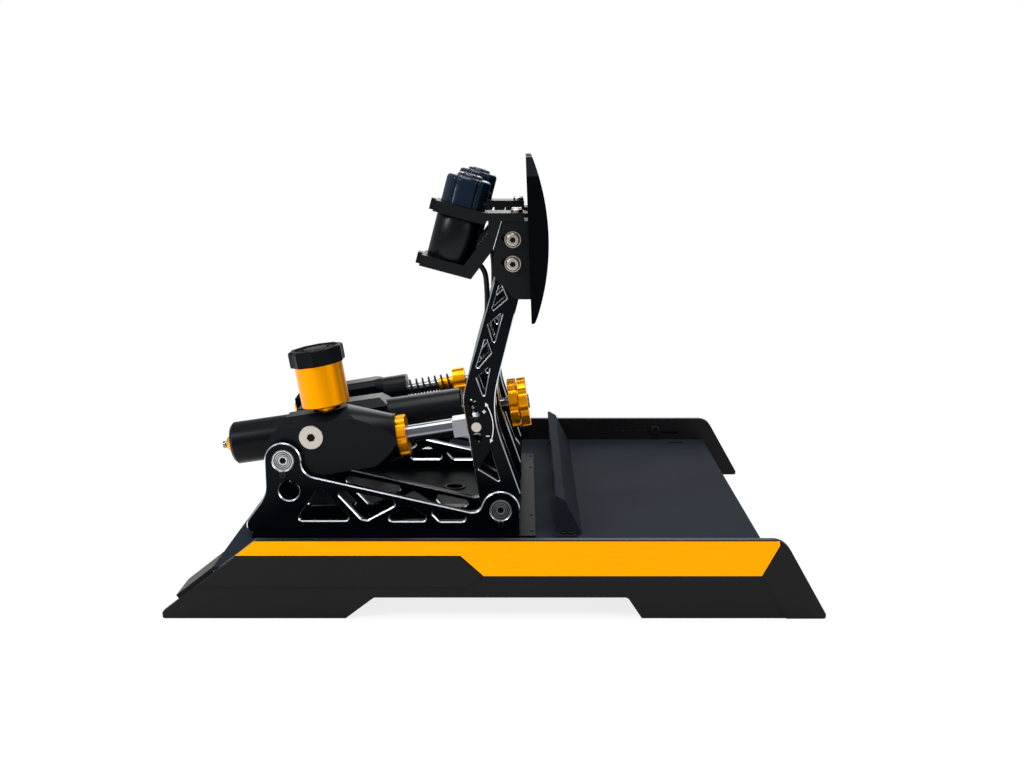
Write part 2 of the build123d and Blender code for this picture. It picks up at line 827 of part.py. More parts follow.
def truss_outline():
    """The truss plate's outline, as (X, Z)."""
    foot = base_plate_top
    left = rear_pivot_x - rear_boss_radius
    inner = rear_pivot_x + rear_boss_radius
    right = front_pivot_x + front_boss_radius
    corners = [
        (truss_foot_x, foot),
        (truss_foot_x, foot + truss_foot_rise),
        (left, foot + truss_waist_rise),
        (left, rear_pivot_z),
        (inner, rear_pivot_z),
        (inner, truss_chord_rear_z),
        (front_pivot_x, truss_chord_front_z),
        (front_pivot_x, front_pivot_z),
        (right, front_pivot_z),
        (right, foot),
    ]
    face = closed(corners)
    face += Pos(rear_pivot_x, rear_pivot_z) * Circle(rear_boss_radius)
    face += Pos(front_pivot_x, front_pivot_z) * Circle(front_boss_radius)
    meeting = (front_pivot_x - front_boss_radius, truss_chord_front_z)
    for point, radius in (
        (corners[0], truss_foot_radius),
        (corners[1], truss_toe_radius),
        (corners[2], truss_waist_radius),
        (corners[5], truss_rear_hollow_radius),
        (meeting, truss_front_hollow_radius),
    ):
        corner = face.vertices().sort_by_distance(Vector(point[0], point[1], 0))[0]
        face = fillet(corner, radius)
    return face


def truss_windows():
    """The truss plate's windows, as (X, Z)."""
    return [rounded([(rear_pivot_x + sx * pivot_span, base_plate_top + sz * truss_height) for sx, sz in window],
                    truss_cut_radius) for window in truss_window_shares]


def bearing_screw_places():
    """Where the small screws under the bearings sit, as (X, Z)."""
    return [(x, z - bearing_screw_drop) for x, z in
            ((rear_pivot_x, rear_pivot_z), (front_pivot_x, front_pivot_z))]


def build_trusses():
    """Four truss plates with their bearings and small screws."""
    face = truss_outline()
    for window in truss_windows():
        face -= window
    face -= Pos(rear_pivot_x, rear_pivot_z) * Circle(bearing_outer_radius)
    face -= Pos(front_pivot_x, front_pivot_z) * Circle(bearing_outer_radius)
    face -= Pos(rear_pivot_x + spare_seat_offset_x, rear_pivot_z - spare_seat_drop) * Circle(bearing_outer_radius)
    bearings, screws = [], []
    screw = cap_screw(m3_radius, m3_head_radius, m3_head_height, m3_socket, bearing_screw_length)
    for number, near in enumerate(truss_near_faces, start=1):
        plate = upright(face, near, truss_thickness)
        sides = plate.faces().sort_by(Axis.Y)
        plate = edge_chamfer(plate, [sides[0], sides[-1]], truss_chamfer)
        outward = -1 if number in (1, 3) else 1
        outer_face = near if outward < 0 else near + truss_thickness
        for x, z in bearing_screw_places():
            plate -= along_y(m3_radius, outer_face - bearing_screw_length, outer_face + bearing_screw_length, x, z)
            screws.append(Pos(x, outer_face, z) * Rot(-90 * outward, 0, 0) * screw)
        for x, y in truss_screw_places():
            if near < y < near + truss_thickness:
                plate -= along_z(m4_radius, base_plate_top - overrun, base_plate_top + truss_screw_length
                                 - base_plate_thickness, x, y)
        keep(f"truss_plate_{number}", plate)
        for x, z in ((rear_pivot_x, rear_pivot_z), (front_pivot_x, front_pivot_z)):
            bearings.append(bearing(x, z, near, outward))
    keep("pivot_bearings", *bearings)
    return screws


def bearing(x, z, near, outward):
    """One bearing: its rings and shield as a turned piece with a groove in each face."""
    low = near + bearing_face_inset if outward < 0 else near + truss_thickness - bearing_face_inset - bearing_thickness
    high = low + bearing_thickness
    ring = along_y(bearing_outer_radius, low, high, x, z) - along_y(shaft_radius, low - overrun, high + overrun, x, z)
    half = bearing_groove_width / 2
    for radius in (bearing_groove_radius, (bearing_groove_radius + shaft_radius) / 2):
        for start in (low - bearing_groove_depth, high - bearing_groove_depth):
            groove = along_y(radius + half, start, start + 2 * bearing_groove_depth, x, z)
            groove -= along_y(radius - half, start - overrun, start + 2 * bearing_groove_depth + overrun, x, z)
            ring -= groove
    return ring


def build_shafts():
    """The two shafts through all the truss plates, and the spacers on them."""
    shafts, spacers = [], []
    end = truss_outer - shaft_end_inset
    for x, z in ((rear_pivot_x, rear_pivot_z), (front_pivot_x, front_pivot_z)):
        bar = along_y(shaft_radius, -end, end, x, z)
        key = pushed(RegularPolygon(shaft_socket / 2, 6, major_radius=False), shaft_socket_depth + overrun)
        for side in (-1, 1):
            bar -= Pos(x, side * (end - shaft_socket_depth), z) * Rot(-90 * side, 0, 0) * key
        shafts.append(bar)
    keep("pivot_shafts", *shafts)

    inner_truss = pedal_pitch - truss_offset - truss_thickness
    for x, z, half_width, places in (
        (rear_pivot_x, rear_pivot_z, brake_rear_radius, (0,)),
        (rear_pivot_x, rear_pivot_z, throttle_half_width, (pedal_pitch,)),
        (front_pivot_x, front_pivot_z, arm_half, (-pedal_pitch, 0, pedal_pitch)),
    ):
        for middle in places:
            reach = truss_offset if middle else inner_truss
            for low, high in ((middle - reach, middle - half_width - seat_gap),
                              (middle + half_width + seat_gap, middle + reach)):
                sleeve = along_y(spacer_radius, low, high, x, z)
                sleeve -= along_y(shaft_radius + sleeve_gap, low - overrun, high + overrun, x, z)
                spacers.append(sleeve)
    keep("shaft_spacers", *spacers)


# Pedal arms

def arm_outline():
    """The arm plate's outline, as (X, Z)."""
    left_foot, right_foot = (front_pivot_x + share * arm_foot_radius for share in arm_foot_shares)
    left = [(left_foot, front_pivot_z)] + [arm_point(share) for share in arm_left_shares]
    right = [arm_point(share) for share in arm_right_shares]
    right += [(right_foot, front_pivot_z + arm_foot_rise_share * arm_length), (right_foot, front_pivot_z)]
    face = closed(left + right)
    for point, radius in (
        (left[1], arm_left_bend_radius),
        (left[2], arm_head_radius),
        (right[0], arm_head_radius),
        (right[1], arm_shoulder_radius),
        (right[2], arm_right_bend_radius),
    ):
        corner = face.vertices().sort_by_distance(Vector(point[0], point[1], 0))[0]
        face = fillet(corner, radius)
    face += Pos(front_pivot_x, front_pivot_z) * Circle(arm_foot_radius)
    for share in arm_window_shares:
        face -= rounded([arm_point(corner) for corner in share], arm_window_radius)
    for share in arm_hole_shares:
        face -= Pos(*arm_point(share)) * Circle(arm_hole_radius)
    face -= Pos(front_pivot_x, front_pivot_z) * Circle(hub_bush_radius)
    for x, z in bracket_screw_places():
        face -= Pos(x, z) * Circle(m6_radius + sleeve_gap)
    return face


def bracket_screw_places():
    """Where the bracket is screwed to the arm, as (X, Z)."""
    height = bracket_top_z - bracket_low_z
    return [(bracket_screw_x, bracket_low_z + share * height) for share in bracket_screw_shares]


def head_block_outline():
    """The block between the arm plates' heads, as (X, Z), just inside the arm's own outline."""
    low = front_pivot_z + head_block_low_share * arm_length
    bend, corner = (arm_point(share) for share in arm_left_shares)
    lean = (corner[0] - bend[0]) / (corner[1] - bend[1])
    high = corner[1] - head_block_top_inset
    right = arm_point(arm_right_shares[0])[0] - head_block_inset
    left_low = corner[0] - lean * (corner[1] - low) + head_block_inset
    left_high = corner[0] - lean * head_block_top_inset + head_block_inset
    return closed([(left_low, low), (right, low), (right, high), (left_high, high)])


def build_arm(name):
    """One pedal arm: two plates, with a hub, a tie bar and a head block between them."""
    middle = pedal_places[name]
    plates = []
    for near in (middle - arm_half, middle + arm_inner):
        plate = upright(arm_outline(), near, arm_plate_thickness)
        outer = plate.faces().sort_by(Axis.Y)[0 if near < middle else -1]
        plates.append(edge_chamfer(plate, [outer], arm_chamfer, arm_hole_radius))
    keep(f"{name}_arm_plates", *plates)

    bore = along_y(shaft_radius + running_gap, middle - truss_gap, middle + truss_gap, front_pivot_x, front_pivot_z)
    hub = along_y(hub_radius, middle - arm_inner, middle + arm_inner, front_pivot_x, front_pivot_z)
    hub += along_y(hub_bush_radius, middle - arm_half, middle + arm_half, front_pivot_x, front_pivot_z)
    tie_x, tie_z = arm_point(tie_share)
    tie = along_y(tie_radius, middle - arm_inner, middle + arm_inner, tie_x, tie_z)
    block = upright(head_block_outline(), middle - arm_inner, 2 * arm_inner)
    for x, z in bracket_screw_places():
        block -= along_y(m6_radius + sleeve_gap, middle - arm_half, middle + arm_half, x, z)
    keep(f"{name}_arm_spacers", hub - bore, tie, block)


def build_link_pins():
    """The pins that join the rods to the arms: two through pins, and two stubs on the brake."""
    for name, (x, z) in (("clutch", clutch_pin), ("throttle", throttle_pin)):
        middle = pedal_places[name]
        reach = arm_half - link_pin_head_inset
        keep(f"{name}_link_pin", along_y(arm_hole_radius, middle - reach, middle + reach, x, z))
    x, z = brake_pin
    stub_end = brake_rod_radius + 2 * seat_gap
    reach = arm_half - link_pin_head_inset
    keep("brake_link_pins", along_y(arm_hole_radius, -reach, -stub_end, x, z),
         along_y(arm_hole_radius, stub_end, reach, x, z))


# Pedal heads

def face_back(height):
    """X of the face plate's back at a height."""
    return face_back_x - (height - face_low_z) * tan(radians(face_tilt))


def cheek_outline():
    """A bracket cheek's outline, as (X, Z), without its slots."""
    height = bracket_top_z - bracket_low_z
    upper = face_back(bracket_top_z)
    points = [(face_back(bracket_low_z), bracket_low_z), (upper, bracket_top_z)]
    points += [(upper - reach * height, bracket_low_z + rise * height) for reach, rise in bracket_cheek_shares]
    return outline(points, [(point, bracket_corner_radius) for point in points[3:6]])


def bracket_slots():
    """The tilted slots of a cheek, which start at the screws and run to the left."""
    slots = []
    run = (bracket_slot_length / 2 - m6_radius) * cos(radians(bracket_slot_tilt))
    rise = (bracket_slot_length / 2 - m6_radius) * sin(radians(bracket_slot_tilt))
    for x, z in bracket_screw_places():
        slot = SlotOverall(bracket_slot_length, 2 * (m6_radius + sleeve_gap))
        slots.append(Pos(x - run, z + rise) * Rot(0, 0, -bracket_slot_tilt) * slot)
    return slots


def face_frame(middle):
    """Places what is drawn against the face plate's back: X to the front, Z up from its low edge."""
    return Pos(face_back_x, middle, face_low_z) * Rot(0, -face_tilt, 0)


def face_screw_places():
    """Where the face plate is screwed to the bracket's web, in the plate's own (Y, Z)."""
    centre = (bracket_low_z + bracket_top_z) / 2 - face_low_z
    return [(sy * face_screw_spacing_y / 2, centre + sz * face_screw_spacing_z / 2)
            for sy in (-1, 1) for sz in (-1, 1)]


def build_face():
    """The face plate in its own frame: flat back, crowned front with grip grooves, cut corners."""
    crown = face_crown_share * face_height
    profile = make_face([
        Line((0, 0), (face_low_depth, 0)),
        ThreePointArc((face_low_depth, 0), (face_depth, crown), (face_top_depth, face_height)),
        Line((face_top_depth, face_height), (0, face_height)),
        Line((0, face_height), (0, 0)),
    ])
    plate = upright(profile, -face_width / 2, face_width)
    for side in (-1, 1):
        edge = side * face_width / 2
        for level, corner in ((face_height, -face_top_corner), (0, face_low_corner)):
            wedge = closed([(edge, level), (edge, level + corner), (edge - side * abs(corner), level)])
            plate -= prism_along_x(wedge, -overrun, face_depth + overrun)
    front = plate.faces().filter_by(GeomType.CYLINDER).sort_by(SortBy.AREA)[-1]
    plate = chamfer(front.edges(), face_chamfer)
    inner = Pos(-face_groove_depth, 0, 0) * plate
    step = face_height * face_groove_share / (face_groove_count - 1)
    half = face_width * face_groove_share / 2
    for index in range(face_groove_count):
        level = face_height * (1 - face_groove_share) / 2 + index * step
        band = slab(0, face_depth + overrun, -half, half, level - face_groove_width / 2,
                    level + face_groove_width / 2)
        plate -= band - inner
    for y, z in face_screw_places():
        plate -= along_x(m5_head_radius + sleeve_gap, face_screw_seat, face_depth + overrun, y, z)
        plate -= along_x(m5_radius, -overrun, face_screw_seat + overrun, y, z)
    return plate


def build_head(name):
    """The bracket, the face plate and the screws of one pedal's head."""
    middle = pedal_places[name]
    cheek = cheek_outline()
    for slot in bracket_slots():
        cheek -= slot
    reach = arm_half + bracket_sheet
    low, high = bracket_low_z, bracket_top_z
    web = closed([(face_back(low), low), (face_back(high), high),
                  (face_back(high) - bracket_web, high), (face_back(low) - bracket_web, low)])
    bracket = upright(cheek, middle - reach, bracket_sheet) + upright(cheek, middle + arm_half, bracket_sheet)
    bracket += upright(web, middle - reach, 2 * reach)
    bracket += slab(face_back(high) - bracket_flange_reach, face_back(high) - bracket_web / 2,
                    middle - reach, middle + reach, high - bracket_sheet, high)
    frame = face_frame(middle)
    for y, z in face_screw_places():
        bracket -= frame * along_x(m5_radius, -bracket_web - overrun, overrun, y, z)
    if name != "brake":
        for side in (-1, 1):
            bracket -= along_z(m5_radius, high - bracket_sheet - overrun, high + overrun,
                               holder_screw_x, middle + side * holder_screw_y)
    keep(f"{name}_bracket", bracket)
    keep(f"{name}_face_plate", frame * build_face())

    screws = []
    washer = washer_thickness
    bolt = cap_screw(m6_radius, m6_head_radius, m6_head_height, m6_socket, 2 * reach + 2 * washer + m6_head_height)
    disc = Pos(0, 0, -washer) * Cylinder(washer_radius, washer, align=(Align.CENTER, Align.CENTER, Align.MIN))
    nut = pushed(RegularPolygon(m6_head_radius, 6, major_radius=False), m6_head_height)
    far_end = -2 * reach - 2 * washer
    set_bolt = bolt + disc + Pos(0, 0, far_end) * Cylinder(washer_radius, washer,
                                                           align=(Align.CENTER, Align.CENTER, Align.MIN))
    set_bolt += Pos(0, 0, far_end - m6_head_height) * nut
    for x, z in bracket_screw_places():
        screws.append(Pos(x, middle - reach - washer, z) * Rot(90, 0, 0) * set_bolt)
    small = cap_screw(m5_radius, m5_head_radius, m5_head_height, m5_socket, face_screw_seat + bracket_web)
    for y, z in face_screw_places():
        screws.append(frame * Pos(face_screw_seat, y, z) * Rot(0, 90, 0) * small)
    if name != "brake":
        small = cap_screw(m5_radius, m5_head_radius, m5_head_height, m5_socket,
                          holder_bar_sheet + bracket_sheet)
        for side in (-1, 1):
            screws.append(Pos(holder_screw_x, middle + side * holder_screw_y,
                              high + holder_bar_sheet) * small)
    keep(f"{name}_head_screws", *screws)


# Haptic motors

def motor_frame(middle):
    """Places what is drawn with the motor's axis along Z and its case's foot at the origin."""
    return Pos(motor_foot_x, middle, motor_foot_z) * Rot(0, motor_tilt, 0)


def motor_point(across, along):
    """A point in the motor's own axes, as (X, Z)."""
    turn = radians(motor_tilt)
    return (motor_foot_x + across * cos(turn) + along * sin(turn),
            motor_foot_z - across * sin(turn) + along * cos(turn))


def build_motor(name):
    """One haptic motor and the holder that clamps it to the bracket."""
    middle = pedal_places[name]
    case_top = holder_band_high + holder_band
    case = Pos(0, 0, -motor_foot) * Cylinder(motor_radius, case_top + motor_foot,
                                             align=(Align.CENTER, Align.CENTER, Align.MIN))
    cap = pushed(RegularPolygon(motor_cap_radius, motor_cap_sides), motor_cap_length)
    top_face = cap.faces().sort_by(Axis.Z)[-1]
    cap = chamfer(top_face.edges(), motor_cap_chamfer)
    crown = Pos(0, 0, motor_cap_length) * pushed(lobed(motor_crown_radius, motor_cap_sides // 2,
                                                       motor_crown_height), motor_crown_height)
    keep(f"{name}_motor", motor_frame(middle) * (case + Pos(0, 0, case_top) * (cap + crown)))

    low_band = [motor_point(-holder_reach, -motor_foot), motor_point(-holder_reach, holder_band - motor_foot),
                motor_point(holder_reach, holder_band - motor_foot), motor_point(holder_reach, -motor_foot)]
    high_band = [motor_point(-holder_reach, holder_band_high), motor_point(-holder_reach, case_top),
                 motor_point(holder_reach, case_top), motor_point(holder_reach, holder_band_high)]
    body = upright(closed(low_band), middle - holder_half_width, 2 * holder_half_width)
    body += upright(closed(high_band), middle - holder_half_width, 2 * holder_half_width)
    for along in (-motor_foot, holder_band_high):
        ear = closed([motor_point(-holder_ear_reach, along), motor_point(-holder_ear_reach, along + holder_band),
                      motor_point(-motor_radius, along + holder_band), motor_point(-motor_radius, along)])
        body += upright(ear, middle - holder_ear_half_width, 2 * holder_ear_half_width)
    bar_low = bracket_top_z
    bar_high = bracket_top_z + holder_bar_sheet
    foot_in = motor_point(holder_reach - holder_strut, holder_band - motor_foot)
    foot_out = motor_point(holder_reach, -motor_foot)
    inner_x, outer_x = holder_strut_top
    inner_knee, outer_knee = [(top + x, bar_low + z) for top, (x, z) in zip(holder_strut_top, holder_strut_knees)]
    strut_face = closed([foot_in, foot_out, outer_knee, (outer_x, bar_low), (outer_x, bar_high),
                         (inner_x, bar_high), inner_knee])
    for side in (-1, 1):
        edge = middle + side * (holder_half_width - holder_strap_width / 2)
        body += upright(strut_face, edge - holder_strap_width / 2, holder_strap_width)
    link_x = motor_point(motor_radius, case_top)[0]
    body += slab(link_x, holder_bar_x, middle - holder_half_width, middle + holder_half_width, bar_low, bar_high)
    cutter = Pos(0, 0, -motor_foot - overrun) * Cylinder(
        motor_radius, case_top + motor_foot + 2 * overrun, align=(Align.CENTER, Align.CENTER, Align.MIN))
    keep_clear = Pos(0, 0, case_top) * Cylinder(motor_cap_radius + seat_gap, motor_cap_length,
                                                align=(Align.CENTER, Align.CENTER, Align.MIN))
    body -= motor_frame(middle) * (cutter + keep_clear)
    for side in (-1, 1):
        body -= along_z(m5_radius, bar_low - overrun, bar_high + overrun, holder_screw_x,
                        middle + side * holder_screw_y)
    keep(f"{name}_motor_holder", body)


# Clutch actuator

def turned_envelope(nose_radius, cone_radius, cone_start, cone_end, rear, front):
    """A turned outer form: wide at the rear, a cone, and a round nose."""
    return lathe([(rear, 0), (rear, cone_radius), (cone_start, cone_radius), (cone_end, nose_radius),
                  (front, nose_radius), (front, 0)])


def side_profile(points, half_width):
    """A solid from a side profile in the actuator's own plane."""
    return upright(closed(points), -half_width, 2 * half_width)


def build_clutch_actuator():
    """Cylinder, gland nut, reservoir with its cap, side plug, rod and return spring."""
    front = cylinder_length
    profile = [
        (-cylinder_rear, -cylinder_floor + cylinder_toe_rise),
        (-cylinder_rear, cylinder_rear_step),
        (-cylinder_rear + cylinder_rear_slope_run, cylinder_top),
        (front, cylinder_top),
        (front, -cylinder_floor),
        (-cylinder_rear + cylinder_toe_run, -cylinder_floor),
    ]
    body = side_profile(profile, cylinder_half_width)
    body = bevel_top(body, cylinder_half_width, cylinder_top, cylinder_edge_chamfer, -cylinder_rear, front)
    body &= turned_envelope(cylinder_nose_radius, cylinder_cone_radius, cylinder_cone_start,
                            cylinder_cone_end, -cylinder_rear, front)
    body -= along_x(chamber_radius, chamber_start, front + overrun)
    body -= along_y(shaft_radius + running_gap, -truss_gap, truss_gap, 0, 0)
    body -= along_z(reservoir_spotface_radius, reservoir_seat, cylinder_top + overrun, reservoir_u, 0)
    body -= along_y(plug_shank_radius, -cylinder_half_width - overrun, -cylinder_half_width + plug_shank,
                    plug_u, plug_v)
    keep("clutch_cylinder", clutch_frame * body)

    nut = prism_along_x(lobed(gland_radius, gland_lobes, gland_notch_radius), front, front + gland_length)
    nut += along_x(chamber_radius, front - gland_spigot, front)
    nut -= along_x(rod_radius + running_gap, front - gland_spigot - overrun, front + gland_length + overrun)
    keep("clutch_gland_nut", clutch_frame * nut)

    plug = cap_screw(plug_shank_radius, plug_radius, plug_height, plug_socket, plug_shank)
    plug_key = pushed(RegularPolygon(plug_socket / 2, 6, major_radius=False), plug_shank)
    plug = plug - Pos(0, 0, -plug_shank / 2) * plug_key
    keep("clutch_port_plug", clutch_frame * Pos(plug_u, -cylinder_half_width, plug_v) * Rot(90, 0, 0) * plug)

    inner = reservoir_radius - reservoir_wall
    vessel = along_z(reservoir_radius, reservoir_low, reservoir_top, reservoir_u, 0)
    vessel = chamfer(vessel.edges().sort_by(Axis.Z)[0], reservoir_edge)
    vessel -= along_z(inner, reservoir_low + reservoir_floor, reservoir_top + overrun, reservoir_u, 0)
    vessel += along_z(reservoir_neck_radius, reservoir_seat, reservoir_low + reservoir_floor / 2, reservoir_u, 0)
    vessel += along_z(reservoir_collar_radius, reservoir_seat, reservoir_seat + reservoir_collar, reservoir_u, 0)
    keep("clutch_reservoir", clutch_frame * vessel)

    cap_top = reservoir_top + cap_height
    cap = Pos(reservoir_u, 0, reservoir_top) * pushed(RegularPolygon(cap_radius, cap_sides), cap_height)
    cap = chamfer(cap.faces().sort_by(Axis.Z)[-1].edges(), cap_chamfer)
    ring = along_z(cap_radius - cap_rim, cap_top - cap_recess, cap_top + overrun, reservoir_u, 0)
    ring -= along_z(cap_boss_radius, cap_top - cap_recess - overrun, cap_top + 2 * overrun, reservoir_u, 0)
    spigot = along_z(inner - seat_gap, reservoir_top - cap_rim, reservoir_top, reservoir_u, 0)
    keep("clutch_reservoir_cap", clutch_frame * (cap - ring + spigot))

    piston_rear = front - gland_spigot - piston_length - seat_gap
    rod = along_x(rod_radius, piston_rear + piston_length, clutch_reach - block_rear)
    rod += along_x(chamber_radius - running_gap, piston_rear, piston_rear + piston_length)
    rod += link_block(clutch_reach, block_rear)
    keep("clutch_rod", clutch_frame * rod)

    wire = spring_wire
    coil = coil_spring(chamber_radius - wire, chamber_start + spring_end_gap, piston_rear - spring_end_gap,
                       spring_turns, wire, "clutch return spring")
    keep("clutch_return_spring", clutch_frame * coil)


def link_block(reach, rear):
    """The block at a rod's end, with a hole that leaves the link pin its play."""
    half = block_height / 2
    block = slab(reach - rear, reach + block_front, -block_width / 2, block_width / 2, -half, half)
    hole = along_y(arm_hole_radius + pin_play, -block_width, block_width, reach, 0)
    return block - hole


# Coil springs

def biarc(start, start_dir, end, end_dir):
    """Two arcs from start to end that share a tangent where they meet."""
    gap = end - start
    both = start_dir + end_dir
    spread = 2 * (1 - start_dir.dot(end_dir))
    lean = gap.dot(both)
    handle = (-lean + sqrt(lean ** 2 + spread * gap.dot(gap))) / spread
    meet = (start + end + (start_dir - end_dir) * handle) * 0.5
    first = TangentArc(start, meet, tangent=start_dir)
    second = TangentArc(meet, end, tangent=first % 1)
    return [first, second]


def coil_spring(radius, start, end, turns, wire, label):
    """A wire wound about X from start to end, as one unbroken tube."""
    length = end - start - wire
    climb = length / turns
    steps = 2 * turns

    def place(step):
        angle = pi * step
        return Vector(start + wire / 2 + climb * step / 2, radius * cos(angle), radius * sin(angle))

    def heading(step):
        angle = pi * step
        return Vector(climb / 2, -pi * radius * sin(angle), pi * radius * cos(angle)).normalized()

    arcs = []
    for step in range(steps):
        for half in (0, 0.5):
            arcs += biarc(place(step + half), heading(step + half), place(step + half + 0.5),
                          heading(step + half + 0.5))
    path = Wire(arcs)
    section = Plane(origin=place(0), z_dir=heading(0)) * Circle(wire / 2)
    print(f"{label}: least gap between its turns {climb - wire:.2f} mm")
    return sweep(section, path=path)


# Brake actuator

def build_brake_actuator():
    """Body with its rear tube and front tube, rear nut, elastomers, rod and preload knob."""
    shift = brake_offset
    block_profile = [
        (-brake_block_rear, -brake_block_floor),
        (-brake_block_rear, brake_block_top - brake_block_chamfer),
        (-brake_block_rear + brake_block_chamfer, brake_block_top),
        (brake_block_front - brake_neck, brake_block_top),
        (brake_block_front, brake_block_top - brake_neck),
        (brake_block_front, -brake_block_floor),
    ]
    body = side_profile(block_profile, brake_block_half_width)
    body = bevel_top(body, brake_block_half_width, brake_block_top, brake_block_chamfer,
                     -brake_block_rear, brake_block_front)
    rear_tube = lathe([(-brake_rear, 0), (-brake_rear, brake_rear_radius - brake_rear_edge),
                       (-brake_rear + brake_rear_edge, brake_rear_radius), (0, brake_rear_radius), (0, 0)])
    front_tube = along_x(brake_tube_radius, brake_block_front - brake_neck, brake_tube_front)
    front_tube = chamfer(front_tube.edges().sort_by(Axis.X)[-1], brake_rear_edge / 2)
    body += rear_tube
    body += front_tube
    chamber = brake_tube_radius - brake_tube_wall
    body -= along_x(chamber, brake_block_front, brake_tube_front - brake_tube_wall)
    body -= along_x(brake_rod_radius + running_gap, shaft_radius * 4, brake_tube_front + overrun)
    body -= along_y(shaft_radius + running_gap, -truss_gap, truss_gap, 0, shift)
    keep("brake_body", brake_frame * body)

    nut = lathe([(-brake_rear, 0), (-brake_rear, brake_nut_radius),
                 (-brake_rear - brake_nut_length, brake_nut_radius / 2), (-brake_rear - brake_nut_length, 0)])
    nut += prism_along_x(RegularPolygon(brake_tip_radius, 6), -brake_rear - brake_nut_length - brake_tip_length,
                         -brake_rear - brake_nut_length)
    keep("brake_rear_nut", brake_frame * nut)

    pucks = []
    for index in range(elastomer_count):
        low = brake_block_front + seat_gap + index * (elastomer_length + elastomer_gap)
        puck = along_x(elastomer_radius, low, low + elastomer_length)
        puck -= along_x(brake_rod_radius + sleeve_gap, low - overrun, low + elastomer_length + overrun)
        pucks.append(puck)
        if index < elastomer_count - 1:
            disc = along_x(elastomer_radius, low + elastomer_length, low + elastomer_length + elastomer_gap)
            disc -= along_x(brake_rod_radius + sleeve_gap, low, low + 2 * elastomer_length)
            pucks.append(disc)
    keep("brake_elastomers", *[brake_frame * puck for puck in pucks])

    stack_end = brake_block_front + elastomer_count * elastomer_length + (elastomer_count - 1) * elastomer_gap
    piston_start = stack_end + 2 * seat_gap
    rod_end = brake_knob_start + 2 * brake_knob_ring + brake_knob_gap + brake_rod_tail
    rod = along_x(brake_rod_radius, brake_block_front - 2 * brake_neck, rod_end)
    rod += along_x(brake_piston_radius, piston_start, piston_start + brake_piston_length)
    half = block_height / 2 + brake_rod_tail
    block = slab(brake_reach - half, brake_reach + half, -block_width / 2, block_width / 2, -half, half)
    socket = along_y(arm_hole_radius + pin_play, -block_width, -brake_rod_radius - seat_gap, brake_reach, 0)
    for side in (-1, 1):
        block -= on_side(socket, side)
    keep("brake_rod", brake_frame * (rod + block))

    knob = Part()
    turn = 0
    for index in range(2):
        low = brake_knob_start + index * (brake_knob_ring + brake_knob_gap)
        face = Rot(0, 0, turn) * lobed(brake_knob_radius, brake_knob_lobes, brake_knob_notch_radius)
        ring = prism_along_x(face, low, low + brake_knob_ring)
        knob += chamfer(ring.faces().sort_by(Axis.X)[0].edges() + ring.faces().sort_by(Axis.X)[-1].edges(),
                        brake_knob_gap / 2)
        turn += 180 / brake_knob_lobes / 2
    knob += along_x(brake_knob_hub_radius, brake_knob_start, brake_knob_start + 2 * brake_knob_ring
                    + brake_knob_gap)
    knob -= along_x(brake_rod_radius + running_gap, brake_knob_start - overrun, rod_end + overrun)
    keep("brake_knob", brake_frame * knob)


# Throttle actuator

def build_throttle_actuator():
    """Body with its rear nut, rod, adjuster and the coil spring between them."""
    profile = [
        (-throttle_rear, -throttle_floor + throttle_chamfer),
        (-throttle_rear, throttle_top - throttle_chamfer),
        (-throttle_rear + throttle_chamfer, throttle_top),
        (throttle_front - throttle_chamfer / 2, throttle_top),
        (throttle_front, throttle_top - throttle_chamfer / 2),
        (throttle_front, -throttle_floor),
        (-throttle_rear + throttle_chamfer, -throttle_floor),
    ]
    body = side_profile(profile, throttle_half_width)
    body = bevel_top(body, throttle_half_width, throttle_top, throttle_chamfer,
                     -throttle_rear, throttle_front)
    body &= turned_envelope(throttle_nose_radius, throttle_cone_radius, throttle_cone_start,
                            throttle_cone_start + throttle_cone_length, -throttle_rear, throttle_front)
    body -= along_x(throttle_rod_radius + running_gap, throttle_bore_start, throttle_front + overrun)
    body -= along_y(shaft_radius + running_gap, -truss_gap, truss_gap, 0, 0)
    keep("throttle_body", throttle_frame * body)

    nut = lathe([(-throttle_rear, 0), (-throttle_rear, throttle_nut_radius),
                 (-throttle_rear - throttle_nut_length, throttle_nut_radius * socket_share),
                 (-throttle_rear - throttle_nut_length, 0)])
    keep("throttle_rear_nut", throttle_frame * nut)

    travel = throttle_front - throttle_bore_start
    rod = along_x(throttle_rod_radius, throttle_front - travel / 2, throttle_reach - block_height / 2)
    rod += link_block(throttle_reach, block_rear * socket_share)
    keep("throttle_rod", throttle_frame * rod)

    nut_end = adjuster_nut_start + adjuster_nut_length
    barrel = along_x(adjuster_barrel_radius, adjuster_start, adjuster_nut_start)
    head = prism_along_x(lobed(adjuster_nut_radius, adjuster_lobes, adjuster_notch_radius),
                         adjuster_nut_start, nut_end)
    adjuster = barrel + head
    adjuster -= along_x(throttle_rod_radius + running_gap, adjuster_start - overrun, nut_end + overrun)
    keep("throttle_adjuster", throttle_frame * adjuster)

    coil = coil_spring(spring_radius, throttle_front + spring_end_gap, adjuster_nut_start - spring_end_gap,
                       spring_turns, spring_wire, "throttle spring")
    keep("throttle_spring", throttle_frame * coil)


# Motor cables

def cable_path(points):
    """Straight runs joined by tangent arcs, each as large as its runs allow."""
    vectors = [Vector(x, 0, z) for x, z in points]
    radii = []
    for before, corner, after in zip(vectors, vectors[1:], vectors[2:]):
        shorter = min((corner - before).length, (after - corner).length)
        turn = radians((corner - before).get_angle(after - corner))
        radii.append(cable_bend_share * shorter / tan(turn / 2))
    print("cable radii: " + ", ".join(f"{radius:.0f}" for radius in radii) + " mm")
    return FilletPolyline(*vectors, radius=radii)


